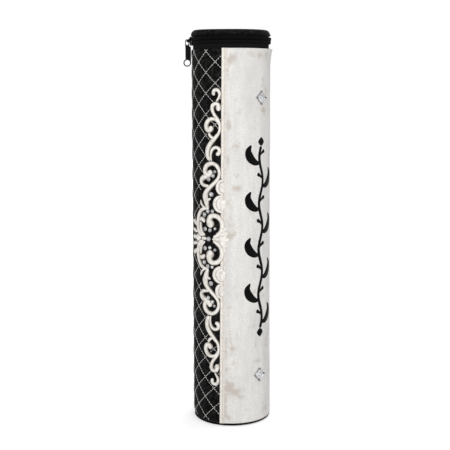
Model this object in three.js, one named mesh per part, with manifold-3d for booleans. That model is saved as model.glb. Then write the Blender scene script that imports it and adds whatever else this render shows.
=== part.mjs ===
// Zippered case for a rolled scroll: a board tube covered in quilted black leatherette, with an
// ivory front panel, raised scroll embroidery and a padded lid on a cloth hinge.
// Millimetres, +Z up, origin at the centre of the foot. The ivory panel faces -Y, the hinge +Y.
// Angles round the case are in degrees from the front, growing towards +X.
import * as THREE from "three";
import { mergeVertices } from "three/addons/utils/BufferGeometryUtils.js";
import { TessellateModifier } from "three/addons/modifiers/TessellateModifier.js";
import Module from "manifold-3d";

const wasm = await Module();
wasm.setup();

// Driving dimensions
const boreRadius = 33.2; // clear radius for the scroll
const bodyHeight = 366.5; // top edge of the quilted cover
const lidWallHeight = 5.4; // side of the padded lid
const fitGap = 0.3; // between pieces that touch
const ringSteps = 48; // flats round the case
const frontAngle = -90; // the front, as an angle from +X

// Walls, from the bore outwards
const liningWall = 0.8;
const boardWall = 1.8;
const coverWall = 1.6;
const panelWall = 2.0;
const hemWall = 2.5;
const tapeWall = 0.6;
const boardInner = boreRadius + liningWall + fitGap;
const boardOuter = boardInner + boardWall;
const coverInner = boardOuter + fitGap;
const coverOuter = coverInner + coverWall;
const panelOuter = coverInner + panelWall;
const hemOuter = coverInner + hemWall;
const tapeOuter = coverInner + tapeWall;

// Foot
const footCoverWall = 1.0;
const footEdgeRadius = 0.5;
const footBoardWall = 2.2;
const floorLiningWall = 0.8;
const bindingHeight = 1.6;
const bindingWall = 1.7;
const footCoverOuter = boardOuter + fitGap;
const footBoardBottom = footCoverWall + fitGap;
const footBoardTop = footBoardBottom + footBoardWall;
const floorBottom = footBoardTop + fitGap;
const floorTop = floorBottom + floorLiningWall;
const bindingBottom = footCoverWall;
const bindingTop = bindingBottom + bindingHeight;
const wallBottom = bindingTop + fitGap;

// Front panel and its rolled hems
const panelRise = 0.2; // of the panel above the quilt
const panelTop = bodyHeight + panelRise;
const panelHalfAngle = 55.6;
const hemHalfAngle = 63.4;
const seamAngle = 0.45; // the fit gap, as an angle
const hemInnerAngle = panelHalfAngle + seamAngle;
const coverStartAngle = hemHalfAngle + seamAngle;

// Zipper chain
const tapeHeight = 4.5;
const rowHeight = 2.9;
const rowWall = 1.5; // depth of a coil row
const toothDepth = 0.5;
const toothPitch = 2.0;
const lidTapeHeight = 0.8;
const tapeBottom = bodyHeight + fitGap;
const tapeTop = tapeBottom + tapeHeight;
const bodyRowBottom = tapeTop + fitGap;
const bodyRowTop = bodyRowBottom + rowHeight;
const lidRowBottom = bodyRowTop + fitGap;
const lidRowTop = lidRowBottom + rowHeight;
const lidTapeBottom = lidRowTop + fitGap;
const lidTapeTop = lidTapeBottom + lidTapeHeight;
const rowInner = tapeOuter + fitGap;
const rowOuter = rowInner + rowWall + toothDepth;
const splitHeight = (bodyRowTop + lidRowBottom) / 2;

// Where the chain ends at the cloth hinge, each side of the back
const tapeEndAngle = 152;
const bodyRowEndAngle = 148;
const lidRowEndAngle = 128.5; // the lid's row stops short, where the slider parks
const stopAngle = 2.6;
const stopStartAngle = bodyRowEndAngle + seamAngle;
const stopEndAngle = stopStartAngle + stopAngle;
const hingeStartAngle = tapeEndAngle + seamAngle;
const hingeWall = 1.6;
const hingeOuter = coverInner + hingeWall;
const hingeAxisRadius = hingeOuter + 2 * fitGap;

// Lid
const lidCoverBottom = lidTapeTop + fitGap;
const lidCoverWall = 1.9;
const lidPadding = 1.7;
const lidEdgeRadius = 4.6;
const lidCornerCut = 1.2; // slope inside the rounded edge
const lidTop = lidCoverBottom + lidWallHeight;
const lidCoverOuter = coverInner + lidCoverWall;
const lidBoardTop = lidTop - lidPadding - fitGap;
const lidBoardBottom = splitHeight + fitGap;
const lidLiningTop = lidBoardTop - boardWall - fitGap;
const boardTop = splitHeight - fitGap;

// Slider and its bridge, parked at the closed end of the chain
const parkAngle = -139.2;
const sliderHalfLength = 6.0;
const sliderPlateWall = 0.85;
const sliderFlangeHeight = 0.8;
const sliderPlateInner = rowOuter + fitGap;
const sliderPlateOuter = sliderPlateInner + sliderPlateWall;
const sliderFlangeInner = tapeOuter + fitGap;
const sliderBottom = bodyRowBottom - fitGap - sliderFlangeHeight;
const sliderTop = lidRowTop + fitGap + sliderFlangeHeight;
const bridgeRadius = 0.75;
const bridgeHalfLength = 3.8;
const bridgePostLength = 1.4;

// Pull tab, hanging from the bridge. The shank widens towards the case below the slider.
const eyeHoleRadius = bridgeRadius + fitGap;
const eyeRim = 0.9;
const eyeRadius = eyeHoleRadius + eyeRim;
const eyeDropShares = [[-1.2, -2.3], [-0.85, -3.7], [0, -4.8], [0.85, -3.7], [1.2, -2.3]];
const pullThickness = 1.5;
const pullShankOuter = 1.5; // from the bridge's axis, away from the case
const pullShankInner = -3.3; // from the bridge's axis, towards the case
const pullShoulder = 1.4;
const fingerRadius = 3.45;
const fingerHoleRadius = 2.8;
const fingerDrop = 20.8;
const bridgeAxisRadius = sliderPlateOuter + fitGap + eyeRadius;
const bridgeHeight = splitHeight;

// Square studs on the panel
const studSide = 10;
const studHeight = 1.6;
const studRim = 0.9;
const studStoneRise = 0.5;
const studTableShare = 0.55;
const studFromEnd = 46.5; // from either end of the panel to a stud's middle
const studHeights = [wallBottom + studFromEnd, bodyHeight - studFromEnd];

// Raised embroidery
const reliefWall = 0.8;
const ornamentMiddle = (wallBottom + bodyHeight) / 2; // height of the ornament's middle
const ornamentHalfHeight = 145;
const longestEdge = 7; // of a facet bent round the case, measured level
const uprightRatio = 6; // how much longer a facet may be where it runs up the case
const strokeSamples = 1.4; // steps between two points of a stroke
const capSamples = 2;
const tessellateRounds = 12;
const rhinestoneRadius = 1.7;
const rhinestoneHeight = 1.3;
const rhinestoneSides = 8;
const rhinestoneTableShare = 0.6;
const ornamentRadius = coverOuter + fitGap;
const hemEdgeArc = coverOuter * THREE.MathUtils.degToRad(coverStartAngle);

// Vine on the panel
const vineWall = 1.2;
const vineMiddle = ornamentMiddle;
const vineFromStud = 28.7; // from either end of the vine to a stud's near corner
const vineHalfHeight = bodyHeight - studFromEnd - studSide / Math.SQRT2 - vineFromStud - vineMiddle;
const vineRadius = panelOuter + fitGap;
const vineLeafPairs = 4;

// Strokes of half the scroll ornament, from its middle upwards. Points are [away from the panel's
// hem, up from the middle] and widths run from start to end, all as shares of the half height.
const scrollStrokeShares = [
  {
    points: [[0.052, 0.966], [0.038, 0.993], [0.018, 0.972], [0.018, 0.934], [0.036, 0.903]],
    widths: [0.03, 0.016, 0.018],
  },
  {
    points: [[0.023, 0.862], [0.036, 0.903], [0.072, 0.872], [0.062, 0.828], [0.032, 0.797],
      [0.018, 0.759]],
    widths: [0.03, 0.02, 0.02],
  },
  {
    points: [[0.018, 0.759], [0.021, 0.718], [0.033, 0.676], [0.072, 0.634], [0.098, 0.586],
      [0.1, 0.531]],
    widths: [0.02, 0.026, 0.032],
  },
  {
    points: [[0.02, 0.74], [0.026, 0.779], [0.069, 0.8], [0.112, 0.772], [0.112, 0.721],
      [0.079, 0.707]],
    widths: [0.02, 0.028, 0.03],
  },
  { points: [[0.079, 0.707], [0.07, 0.731], [0.083, 0.752]], widths: [0.028, 0.03, 0.036] },
  {
    points: [[0.096, 0.526], [0.069, 0.552], [0.062, 0.6], [0.038, 0.621], [0.018, 0.59],
      [0.029, 0.566]],
    widths: [0.022, 0.02, 0.028],
  },
  {
    points: [[0.018, 0.448], [0.029, 0.49], [0.083, 0.517], [0.136, 0.479], [0.141, 0.421],
      [0.103, 0.407]],
    widths: [0.02, 0.03, 0.032],
  },
  { points: [[0.103, 0.407], [0.082, 0.43], [0.096, 0.455]], widths: [0.03, 0.03, 0.038] },
  { points: [[0.096, 0.534], [0.094, 0.51]], widths: [0.03, 0.03] },
  { points: [[0.152, 0.418], [0.154, 0.386], [0.128, 0.368]], widths: [0.03, 0.028, 0.024] },
  {
    points: [[0.018, 0.448], [0.024, 0.393], [0.072, 0.345], [0.114, 0.297], [0.131, 0.241],
      [0.117, 0.2]],
    widths: [0.02, 0.032, 0.022],
  },
  {
    points: [[0.024, 0.4], [0.022, 0.31], [0.034, 0.262], [0.034, 0.19], [0.024, 0.124]],
    widths: [0.03, 0.052, 0.03],
  },
  { points: [[0.024, 0.13], [0.026, 0.07], [0.034, 0], [0.1, 0]], widths: [0.03, 0.036, 0.03] },
  {
    points: [[0.034, 0.17], [0.068, 0.166], [0.092, 0.136], [0.09, 0.1]],
    widths: [0.034, 0.036, 0.056],
  },
  {
    points: [[0.117, 0.2], [0.15, 0.205], [0.186, 0.172], [0.196, 0.117], [0.178, 0.055], [0.16, 0]],
    widths: [0.02, 0.04, 0.044],
  },
  { points: [[0.1, 0], [0.16, 0], [0.22, 0]], widths: [0.03, 0.036, 0.052] },
  { points: [[0.19, 0.13], [0.155, 0.117]], widths: [0.03, 0.036] },
  { points: [[0.196, 0.117], [0.244, 0.103]], widths: [0.03, 0.034] },
  { points: [[0.172, 0.248], [0.148, 0.214], [0.128, 0.196]], widths: [0.012, 0.02, 0.022] },
];
const rhinestoneShares = [
  [0.094, 0], [0.048, 0.069], [0.084, 0.054], [0.124, 0.066],
  [0.062, 0.196], [0.102, 0.186], [0.134, 0.159],
];

// One leaf of the vine, from the stem outwards, as shares of the vine's half height
const vineLeafShares = [[0, 0], [0.062, 0.012], [0.118, 0.058], [0.138, 0.122], [0.108, 0.182]];
const vineLeafWidthShares = [0.02, 0.064, 0.086, 0.066, 0.012];
const vineStemShare = 0.9; // of the vine's height that the stem takes
const vineStemSwayShare = 0.026;
const vineLeafRootShare = 0.25; // where a leaf leaves its stretch of stem
const vineStemWidthShares = [0.03, 0.042, 0.03];
const vineTendrilShares = [[0, 0], [0.036, 0.034], [0.078, 0.058]];
const vineTendrilWidthShares = [0.016, 0.026, 0.05];
const vineTendrilRootShare = 0.55; // where a tendril leaves its stretch of stem
const vineBudShares = [[0, 0], [0, 0.04], [0, 0.086]];
const vineBudWidthShares = [0.04, 0.09, 0.02];

const colours = {
  leatherette: { color: 0x1a1a1c, roughness: 0.55, metalness: 0 },
  ivory: { color: 0xe9e5de, roughness: 0.6, metalness: 0 },
  hem: { color: 0xe6dfd2, roughness: 0.6, metalness: 0 },
  cream: { color: 0xd9cfbf, roughness: 0.7, metalness: 0 },
  blackThread: { color: 0x121214, roughness: 0.65, metalness: 0 },
  board: { color: 0x9c8a6c, roughness: 0.9, metalness: 0 },
  lining: { color: 0x24242a, roughness: 0.95, metalness: 0 },
  tape: { color: 0x1c1c1e, roughness: 0.9, metalness: 0 },
  coil: { color: 0x161618, roughness: 0.45, metalness: 0 },
  slider: { color: 0x1b1b1d, roughness: 0.4, metalness: 0.6 },
  silver: { color: 0xb9bcc0, roughness: 0.25, metalness: 1 },
  crystal: { color: 0xc9ced3, roughness: 0.08, metalness: 0.1 },
};

function material(name) {
  return new THREE.MeshStandardMaterial(colours[name]);
}

// Geometry helpers

// A closed, indexed copy with merged vertices, no flat triangles, and its faces pointing out.
function closed(geometry) {
  const plain = geometry.clone();
  plain.deleteAttribute("normal");
  plain.deleteAttribute("uv");
  const merged = mergeVertices(plain, 1e-4);
  const position = merged.getAttribute("position");
  const corners = [0, 1, 2].map(() => new THREE.Vector3());
  const kept = [];
  let volume = 0;
  for (let i = 0; i < merged.index.count; i += 3) {
    const triangle = [0, 1, 2].map((k) => merged.index.getX(i + k));
    if (new Set(triangle).size < 3) {
      continue;
    }
    triangle.forEach((index, k) => corners[k].fromBufferAttribute(position, index));
    volume += corners[0].dot(corners[1].clone().cross(corners[2]));
    kept.push(triangle);
  }
  const facing = volume < 0 ? kept.map(([a, b, c]) => [a, c, b]) : kept;
  merged.setIndex(facing.flat());
  return merged;
}

function toSolid(geometry) {
  const merged = closed(geometry);
  return new wasm.Manifold(new wasm.Mesh({
    numProp: 3,
    vertProperties: new Float32Array(merged.getAttribute("position").array),
    triVerts: new Uint32Array(merged.index.array),
  }));
}

function toGeometry(solid) {
  const mesh = solid.getMesh();
  const geometry = new THREE.BufferGeometry();
  geometry.setAttribute("position", new THREE.BufferAttribute(mesh.vertProperties, 3));
  geometry.setIndex(new THREE.BufferAttribute(mesh.triVerts, 1));
  return geometry;
}

function join(geometries) {
  return geometries.map(toSolid).reduce((whole, next) => whole.add(next));
}

// A ring or disc turned from [radius, height] points; an open profile starts and ends on the axis.
function turned(profile) {
  const points = profile.map(([radius, height]) => new THREE.Vector2(radius, height));
  return closed(new THREE.LatheGeometry(points, ringSteps).rotateX(Math.PI / 2));
}

function ring(inner, outer, bottom, top) {
  const profile = [[inner, bottom], [outer, bottom], [outer, top], [inner, top], [inner, bottom]];
  return turned(profile);
}

function disc(radius, bottom, top) {
  return turned([[0, bottom], [radius, bottom], [radius, top], [0, top]]);
}

// A wall that follows the case from one angle to another.
function arcWall(inner, outer, bottom, top, fromAngle, toAngle) {
  const start = THREE.MathUtils.degToRad(frontAngle + fromAngle);
  const end = THREE.MathUtils.degToRad(frontAngle + toAngle);
  const steps = Math.max(4, Math.round(((toAngle - fromAngle) / 360) * ringSteps));
  const shape = new THREE.Shape();
  shape.absarc(0, 0, outer, start, end, false);
  shape.absarc(0, 0, inner, end, start, true);
  const depth = top - bottom;
  const wall = new THREE.ExtrudeGeometry(shape, { depth, bevelEnabled: false, curveSegments: steps });
  return closed(wall.translate(0, 0, bottom));
}

// A coil row: a wall whose outer edge is a row of small teeth.
function toothedWall(inner, root, tip, bottom, top, fromAngle, toAngle) {
  const span = THREE.MathUtils.degToRad(toAngle - fromAngle);
  const start = THREE.MathUtils.degToRad(frontAngle + fromAngle);
  const teeth = Math.round((span * tip) / toothPitch);
  const innerSteps = Math.round((span / (2 * Math.PI)) * ringSteps);
  const at = (radius, share) => {
    const angle = start + span * share;
    return new THREE.Vector2(radius * Math.cos(angle), radius * Math.sin(angle));
  };
  const points = [];
  for (let i = 0; i <= 2 * teeth; i += 1) {
    points.push(at(i % 2 === 1 ? tip : root, i / (2 * teeth)));
  }
  for (let i = innerSteps; i >= 0; i -= 1) {
    points.push(at(inner, i / innerSteps));
  }
  const depth = top - bottom;
  const wall = new THREE.ExtrudeGeometry(new THREE.Shape(points), { depth, bevelEnabled: false });
  return closed(wall.translate(0, 0, bottom));
}

// A flat satin stroke of changing width with round ends; x is across, y is up.
function stroke(points, widths, thickness) {
  const curve = new THREE.SplineCurve(points.map(([x, y]) => new THREE.Vector2(x, y)));
  const steps = Math.ceil(strokeSamples * (points.length - 1));
  const left = [];
  const right = [];
  const halfWidthAt = (share) => {
    const place = share * (widths.length - 1);
    const low = Math.min(Math.floor(place), widths.length - 2);
    return THREE.MathUtils.lerp(widths[low], widths[low + 1], place - low) / 2;
  };
  const offset = (share, turn) => {
    const along = curve.getTangent(share).angle();
    const reach = halfWidthAt(share);
    const step = new THREE.Vector2(reach * Math.cos(along + turn), reach * Math.sin(along + turn));
    return curve.getPoint(share).add(step);
  };
  for (let i = 0; i <= steps; i += 1) {
    left.push(offset(i / steps, Math.PI / 2));
    right.unshift(offset(i / steps, -Math.PI / 2));
  }
  const cap = (share, from) => {
    const inner = Array.from({ length: capSamples - 1 }, (_, i) => i + 1);
    const turns = inner.map((i) => from - (Math.PI * i) / capSamples);
    return turns.map((turn) => offset(share, turn));
  };
  const outline = [...left, ...cap(1, Math.PI / 2), ...right, ...cap(0, -Math.PI / 2)];
  return new THREE.ExtrudeGeometry(new THREE.Shape(outline), { depth: thickness, bevelEnabled: false });
}

// Wraps a flat relief (x across, y up, z out) round the case; x is an arc length from the front.
function wrapped(solid, radius) {
  const loose = toGeometry(solid).toNonIndexed().scale(1, 1 / uprightRatio, 1);
  const split = new TessellateModifier(longestEdge, tessellateRounds).modify(loose);
  const fine = mergeVertices(split.scale(1, uprightRatio, 1), 1e-4);
  const position = fine.getAttribute("position");
  for (let i = 0; i < position.count; i += 1) {
    const angle = THREE.MathUtils.degToRad(frontAngle) + position.getX(i) / radius;
    const reach = radius + position.getZ(i);
    position.setXYZ(i, reach * Math.cos(angle), reach * Math.sin(angle), position.getY(i));
  }
  return closed(fine);
}

// The parts of each moving body
const megillahCase = new THREE.Group();
const body = new THREE.Group();
const lid = new THREE.Group();
const slider = new THREE.Group();
const pull = new THREE.Group();
slider.add(pull);
megillahCase.add(body, lid, slider);

function add(group, name, geometry, colour) {
  const mesh = new THREE.Mesh(geometry, material(colour));
  mesh.name = name;
  group.add(mesh);
  return mesh;
}

// Tube, foot and lining
function addTube() {
  add(body, "tube_board", ring(boardInner, boardOuter, footBoardBottom, boardTop), "board");
  add(body, "bottom_board", disc(boardInner - fitGap, footBoardBottom, footBoardTop), "board");
  add(body, "floor_lining", disc(boardInner - fitGap, floorBottom, floorTop), "lining");
  const liningBottom = floorTop + fitGap;
  add(body, "body_lining", ring(boreRadius, boreRadius + liningWall, liningBottom, boardTop), "lining");
  const footProfile = [
    [0, 0],
    [footCoverOuter - footEdgeRadius, 0],
    [footCoverOuter, footEdgeRadius],
    [footCoverOuter, footCoverWall],
    [0, footCoverWall],
  ];
  add(body, "bottom_cover", turned(footProfile), "leatherette");
  const bindingOuter = coverInner + bindingWall;
  const bindingCorner = bindingHeight / 4;
  const bindingProfile = [
    [coverInner + fitGap, bindingBottom],
    [bindingOuter - bindingCorner, bindingBottom],
    [bindingOuter, bindingBottom + bindingCorner],
    [bindingOuter, bindingTop - bindingCorner],
    [bindingOuter - bindingCorner, bindingTop],
    [coverInner + fitGap, bindingTop],
    [coverInner + fitGap, bindingBottom],
  ];
  add(body, "bottom_binding", turned(bindingProfile), "leatherette");
}

// Quilted cover round the sides and back, ivory panel and hems at the front
function addCovers() {
  const coverEndAngle = 360 - coverStartAngle;
  const quilt = arcWall(coverInner, coverOuter, wallBottom, bodyHeight, coverStartAngle, coverEndAngle);
  add(body, "quilted_cover", quilt, "leatherette");
  const panel = arcWall(coverInner, panelOuter, wallBottom, panelTop, -panelHalfAngle, panelHalfAngle);
  add(body, "title_panel", panel, "ivory");
  const leftHem = arcWall(coverInner, hemOuter, wallBottom, panelTop, -hemHalfAngle, -hemInnerAngle);
  add(body, "panel_hem_left", leftHem, "hem");
  const rightHem = arcWall(coverInner, hemOuter, wallBottom, panelTop, hemInnerAngle, hemHalfAngle);
  add(body, "panel_hem_right", rightHem, "hem");
}

// Scroll embroidery with its rhinestones, on the quilt beside each hem
function addScroll(side, name) {
  const place = ([across, up], mirror) => [
    side * (hemEdgeArc + across * ornamentHalfHeight),
    mirror * up * ornamentHalfHeight + ornamentMiddle,
  ];
  const scaled = (shares) => shares.map((share) => share * ornamentHalfHeight);
  const strokes = [1, -1].flatMap((mirror) => scrollStrokeShares.map(({ points, widths }) => {
    const route = points.map((point) => place(point, mirror));
    return stroke(route, scaled(widths), reliefWall);
  }));
  const halves = (share) => (share[1] === 0 ? [1] : [1, -1]);
  const stones = rhinestoneShares.flatMap((share) => halves(share).map((mirror) => place(share, mirror)));
  const seatRadius = rhinestoneRadius + fitGap;
  const seats = stones.map(([x, y]) => {
    const seat = new THREE.CylinderGeometry(seatRadius, seatRadius, 4 * reliefWall, rhinestoneSides);
    return seat.rotateX(Math.PI / 2).translate(x, y, 0);
  });
  const relief = seats.reduce((solid, seat) => solid.subtract(toSolid(seat)), join(strokes));
  add(body, `scroll_${name}`, wrapped(relief, ornamentRadius), "cream");
  stones.forEach(([x, y], i) => {
    const table = rhinestoneRadius * rhinestoneTableShare;
    const stone = new THREE.CylinderGeometry(table, rhinestoneRadius, rhinestoneHeight, rhinestoneSides);
    stone.rotateZ(-Math.PI / 2).translate(ornamentRadius + rhinestoneHeight / 2, 0, y);
    stone.rotateZ(THREE.MathUtils.degToRad(frontAngle) + x / ornamentRadius);
    add(body, `rhinestone_${name}_${i + 1}`, closed(stone), "crystal");
  });
}

// Vine of leaves, tendrils and buds up the middle of the panel
function addVine() {
  const scale = (shares) => shares.map((share) => share * vineHalfHeight);
  const pieces = [];
  const stem = [];
  const stemSteps = 4 * vineLeafPairs;
  const sway = vineStemSwayShare * vineHalfHeight;
  const stemX = (share) => sway * Math.sin(share * Math.PI * 2 * vineLeafPairs);
  const stemY = (share) => vineMiddle + vineStemShare * vineHalfHeight * (2 * share - 1);
  for (let i = 0; i <= stemSteps; i += 1) {
    stem.push([stemX(i / stemSteps), stemY(i / stemSteps)]);
  }
  const grow = (shares, widthShares, share, side, direction) => {
    const route = shares.map(([across, up]) => [
      stemX(share) + side * across * vineHalfHeight,
      stemY(share) + direction * up * vineHalfHeight,
    ]);
    pieces.push(stroke(route, scale(widthShares), vineWall));
  };
  pieces.push(stroke(stem, scale(vineStemWidthShares), vineWall));
  for (let i = 0; i < 2 * vineLeafPairs; i += 1) {
    const side = i % 2 === 0 ? 1 : -1;
    const leafRoot = (i + vineLeafRootShare) / (2 * vineLeafPairs);
    const tendrilRoot = (i + vineTendrilRootShare) / (2 * vineLeafPairs);
    grow(vineLeafShares, vineLeafWidthShares, leafRoot, side, 1);
    grow(vineTendrilShares, vineTendrilWidthShares, tendrilRoot, -side, 1);
  }
  grow(vineBudShares, vineBudWidthShares, 0, 1, -1);
  grow(vineBudShares, vineBudWidthShares, 1, 1, 1);
  add(body, "vine_motif", wrapped(join(pieces), vineRadius), "blackThread");
}

// Square crystals on the panel, corner up, each in a metal rim
function addStuds() {
  const outer = studSide / Math.SQRT2;
  const inner = outer - studRim * Math.SQRT2;
  const stoneReach = inner - fitGap * Math.SQRT2;
  const stoneHeight = studHeight + studStoneRise;
  const stand = (geometry, height) => {
    const facing = THREE.MathUtils.degToRad(frontAngle);
    return closed(geometry.rotateZ(-Math.PI / 2).translate(panelOuter + fitGap, 0, height).rotateZ(facing));
  };
  studHeights.forEach((height, i) => {
    const name = ["lower", "upper"][i];
    const block = new THREE.CylinderGeometry(outer, outer, studHeight, 4).translate(0, studHeight / 2, 0);
    const hole = new THREE.CylinderGeometry(inner, inner, 4 * studHeight, 4);
    const rim = toGeometry(toSolid(block).subtract(toSolid(hole)));
    add(body, `stud_rim_${name}`, stand(rim, height), "silver");
    const stone = new THREE.CylinderGeometry(stoneReach * studTableShare, stoneReach, stoneHeight, 4);
    add(body, `stud_crystal_${name}`, stand(stone.translate(0, stoneHeight / 2, 0), height), "crystal");
  });
}

// Zipper tapes, coil rows and stops
function addZipper() {
  const bodyTape = arcWall(coverInner, tapeOuter, tapeBottom, tapeTop, -tapeEndAngle, tapeEndAngle);
  add(body, "zipper_tape_body", bodyTape, "tape");
  const lidTape = arcWall(coverInner, tapeOuter, lidTapeBottom, lidTapeTop, -lidRowEndAngle, lidRowEndAngle);
  add(lid, "zipper_tape_lid", lidTape, "tape");
  const rootRadius = rowOuter - toothDepth;
  const row = (bottom, top, end) => toothedWall(rowInner, rootRadius, rowOuter, bottom, top, -end, end);
  add(body, "zipper_row_body", row(bodyRowBottom, bodyRowTop, bodyRowEndAngle), "coil");
  add(lid, "zipper_row_lid", row(lidRowBottom, lidRowTop, lidRowEndAngle), "coil");
  const stop = (from, to) => arcWall(rowInner, rowOuter, bodyRowBottom, bodyRowTop, from, to);
  add(body, "zipper_stop_closed_end", stop(-stopEndAngle, -stopStartAngle), "slider");
  add(body, "zipper_stop_open_end", stop(stopStartAngle, stopEndAngle), "slider");
}

// Cloth hinge at the back: the body's half and the lid's half
function addHinge() {
  const from = hingeStartAngle;
  const to = 360 - hingeStartAngle;
  const strip = (bottom, top) => arcWall(coverInner, hingeOuter, bottom, top, from, to);
  add(body, "hinge_strip_body", strip(tapeBottom, bodyRowTop), "leatherette");
  add(lid, "hinge_strip_lid", strip(lidRowBottom + fitGap, lidTapeTop), "leatherette");
}

// Padded lid: board disc and rim, lining, and cover with a rounded edge
function addLid() {
  const boardProfile = [
    [0, lidBoardTop - boardWall],
    [boardOuter, lidBoardTop - boardWall],
    [boardOuter, lidBoardTop - lidCornerCut],
    [boardOuter - lidCornerCut, lidBoardTop],
    [0, lidBoardTop],
  ];
  add(lid, "lid_board", turned(boardProfile), "board");
  const rimTop = lidBoardTop - boardWall - fitGap;
  add(lid, "lid_board_rim", ring(boardInner, boardOuter, lidBoardBottom, rimTop), "board");
  const liningProfile = [
    [0, lidLiningTop - liningWall],
    [boreRadius, lidLiningTop - liningWall],
    [boreRadius, lidBoardBottom],
    [boreRadius + liningWall, lidBoardBottom],
    [boreRadius + liningWall, lidLiningTop],
    [0, lidLiningTop],
  ];
  add(lid, "lid_lining", turned(liningProfile), "lining");
  const edge = [0, 1, 2, 3].map((step) => {
    const turn = (step / 3) * (Math.PI / 2);
    const reach = lidCoverOuter - lidEdgeRadius + lidEdgeRadius * Math.cos(turn);
    return [reach, lidTop - lidEdgeRadius + lidEdgeRadius * Math.sin(turn)];
  });
  const coverProfile = [
    [0, lidTop - lidPadding],
    [coverInner - lidCornerCut, lidTop - lidPadding],
    [coverInner, lidTop - lidPadding - lidCornerCut],
    [coverInner, lidCoverBottom],
    [lidCoverOuter, lidCoverBottom],
    ...edge,
    [0, lidTop],
  ];
  add(lid, "lid_cover", turned(coverProfile), "leatherette");
}

// Slider: a channel over both rows, with a bridge for the pull
function addSlider() {
  const halfAngle = THREE.MathUtils.radToDeg(sliderHalfLength / rowOuter);
  const from = parkAngle - halfAngle;
  const to = parkAngle + halfAngle;
  const plate = arcWall(sliderPlateInner, sliderPlateOuter, sliderBottom, sliderTop, from, to);
  const flangeOuter = sliderPlateInner + sliderPlateWall / 2;
  const flange = (bottom) => {
    return arcWall(sliderFlangeInner, flangeOuter, bottom, bottom + sliderFlangeHeight, from, to);
  };
  const lower = flange(sliderBottom);
  const upper = flange(sliderTop - sliderFlangeHeight);
  const turn = THREE.MathUtils.degToRad(frontAngle + parkAngle);
  const bar = new THREE.CylinderGeometry(bridgeRadius, bridgeRadius, 2 * bridgeHalfLength, 8);
  bar.translate(bridgeAxisRadius, 0, bridgeHeight).rotateZ(turn);
  const postInner = sliderPlateOuter - sliderPlateWall / 2;
  const postReach = bridgeAxisRadius - postInner;
  const posts = [1, -1].map((side) => {
    const post = new THREE.BoxGeometry(postReach, bridgePostLength, 2 * bridgeRadius);
    const along = side * (bridgeHalfLength - bridgePostLength / 2);
    return post.translate(postInner + postReach / 2, along, bridgeHeight).rotateZ(turn);
  });
  add(slider, "zipper_slider", toGeometry(join([plate, lower, upper, bar, ...posts])), "slider");
}

// Pull tab: eye round the bridge, shank, and a ring for the finger, in one flat piece
function addPull() {
  const neck = bridgeHeight - sliderBottom + fitGap;
  const outerTurn = Math.acos(pullShankOuter / fingerRadius);
  const innerTurn = Math.acos(pullShankInner / fingerRadius);
  const outline = new THREE.Shape();
  outline.absarc(0, 0, eyeRadius, 0, Math.PI, false);
  outline.lineTo(-eyeRadius, -neck);
  outline.lineTo(pullShankInner, -neck - pullShoulder);
  outline.absarc(0, -fingerDrop, fingerRadius, innerTurn, 2 * Math.PI + outerTurn, false);
  outline.lineTo(pullShankOuter, -neck - pullShoulder);
  outline.lineTo(eyeRadius, -neck);
  outline.closePath();
  const eye = new THREE.Path();
  eye.absarc(0, 0, eyeHoleRadius, 0, Math.PI, false);
  eyeDropShares.forEach(([x, y]) => eye.lineTo(x * eyeHoleRadius, y * eyeHoleRadius));
  eye.closePath();
  const finger = new THREE.Path();
  finger.absarc(0, -fingerDrop, fingerHoleRadius, 0, 2 * Math.PI, false);
  outline.holes.push(eye, finger);
  const plate = new THREE.ExtrudeGeometry(outline, { depth: pullThickness, bevelEnabled: false });
  const tab = closed(plate.rotateX(Math.PI / 2));
  tab.translate(bridgeAxisRadius, pullThickness / 2, bridgeHeight);
  add(pull, "pull_tab", tab.rotateZ(THREE.MathUtils.degToRad(frontAngle + parkAngle)), "slider");
}

addTube();
addCovers();
addScroll(-1, "left");
addScroll(1, "right");
addVine();
addStuds();
addZipper();
addHinge();
addLid();
addSlider();
addPull();

export default megillahCase;
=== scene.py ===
"""Looks of a zippered scroll case: quilted leatherette, an ivory panel, embroidery and a zip."""

import math
from contextlib import contextmanager

import bpy
import numpy as np
from bpy.props import FloatProperty, FloatVectorProperty, IntProperty, PointerProperty
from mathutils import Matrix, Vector


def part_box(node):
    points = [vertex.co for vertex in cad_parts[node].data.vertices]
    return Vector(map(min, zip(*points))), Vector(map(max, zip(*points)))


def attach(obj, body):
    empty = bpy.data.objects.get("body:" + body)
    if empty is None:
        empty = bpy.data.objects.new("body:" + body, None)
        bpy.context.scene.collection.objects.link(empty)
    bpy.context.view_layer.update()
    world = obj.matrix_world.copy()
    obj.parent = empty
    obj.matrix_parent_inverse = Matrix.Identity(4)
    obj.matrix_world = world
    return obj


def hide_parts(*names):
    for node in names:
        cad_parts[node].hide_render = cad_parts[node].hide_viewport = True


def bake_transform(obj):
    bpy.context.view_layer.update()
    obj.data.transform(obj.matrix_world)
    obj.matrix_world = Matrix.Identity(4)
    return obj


bl_info = {
    "name": "Zippered Scroll Case",
    "version": (1, 0, 0),
    "blender": (4, 5, 0),
    "location": "View3D > Sidebar > Scroll Case",
    "description": "Models the covers, embroidery, zip and lid of a round scroll case",
    "category": "Add Mesh",
}

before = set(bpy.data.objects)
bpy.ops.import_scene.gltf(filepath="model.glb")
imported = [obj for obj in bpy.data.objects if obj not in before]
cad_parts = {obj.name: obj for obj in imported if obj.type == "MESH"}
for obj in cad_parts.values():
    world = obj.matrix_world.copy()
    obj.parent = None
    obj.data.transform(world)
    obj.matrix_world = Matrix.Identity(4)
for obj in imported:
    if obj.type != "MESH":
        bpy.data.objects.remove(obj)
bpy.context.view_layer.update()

MM = 0.001


def reaches(node):
    """Distances of a node's corners from the case's axis."""
    return [math.hypot(p.co.x, p.co.y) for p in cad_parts[node].data.vertices]


def outer_of(node):
    return max(reaches(node))


def inner_of(node):
    return min(reaches(node))


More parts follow.
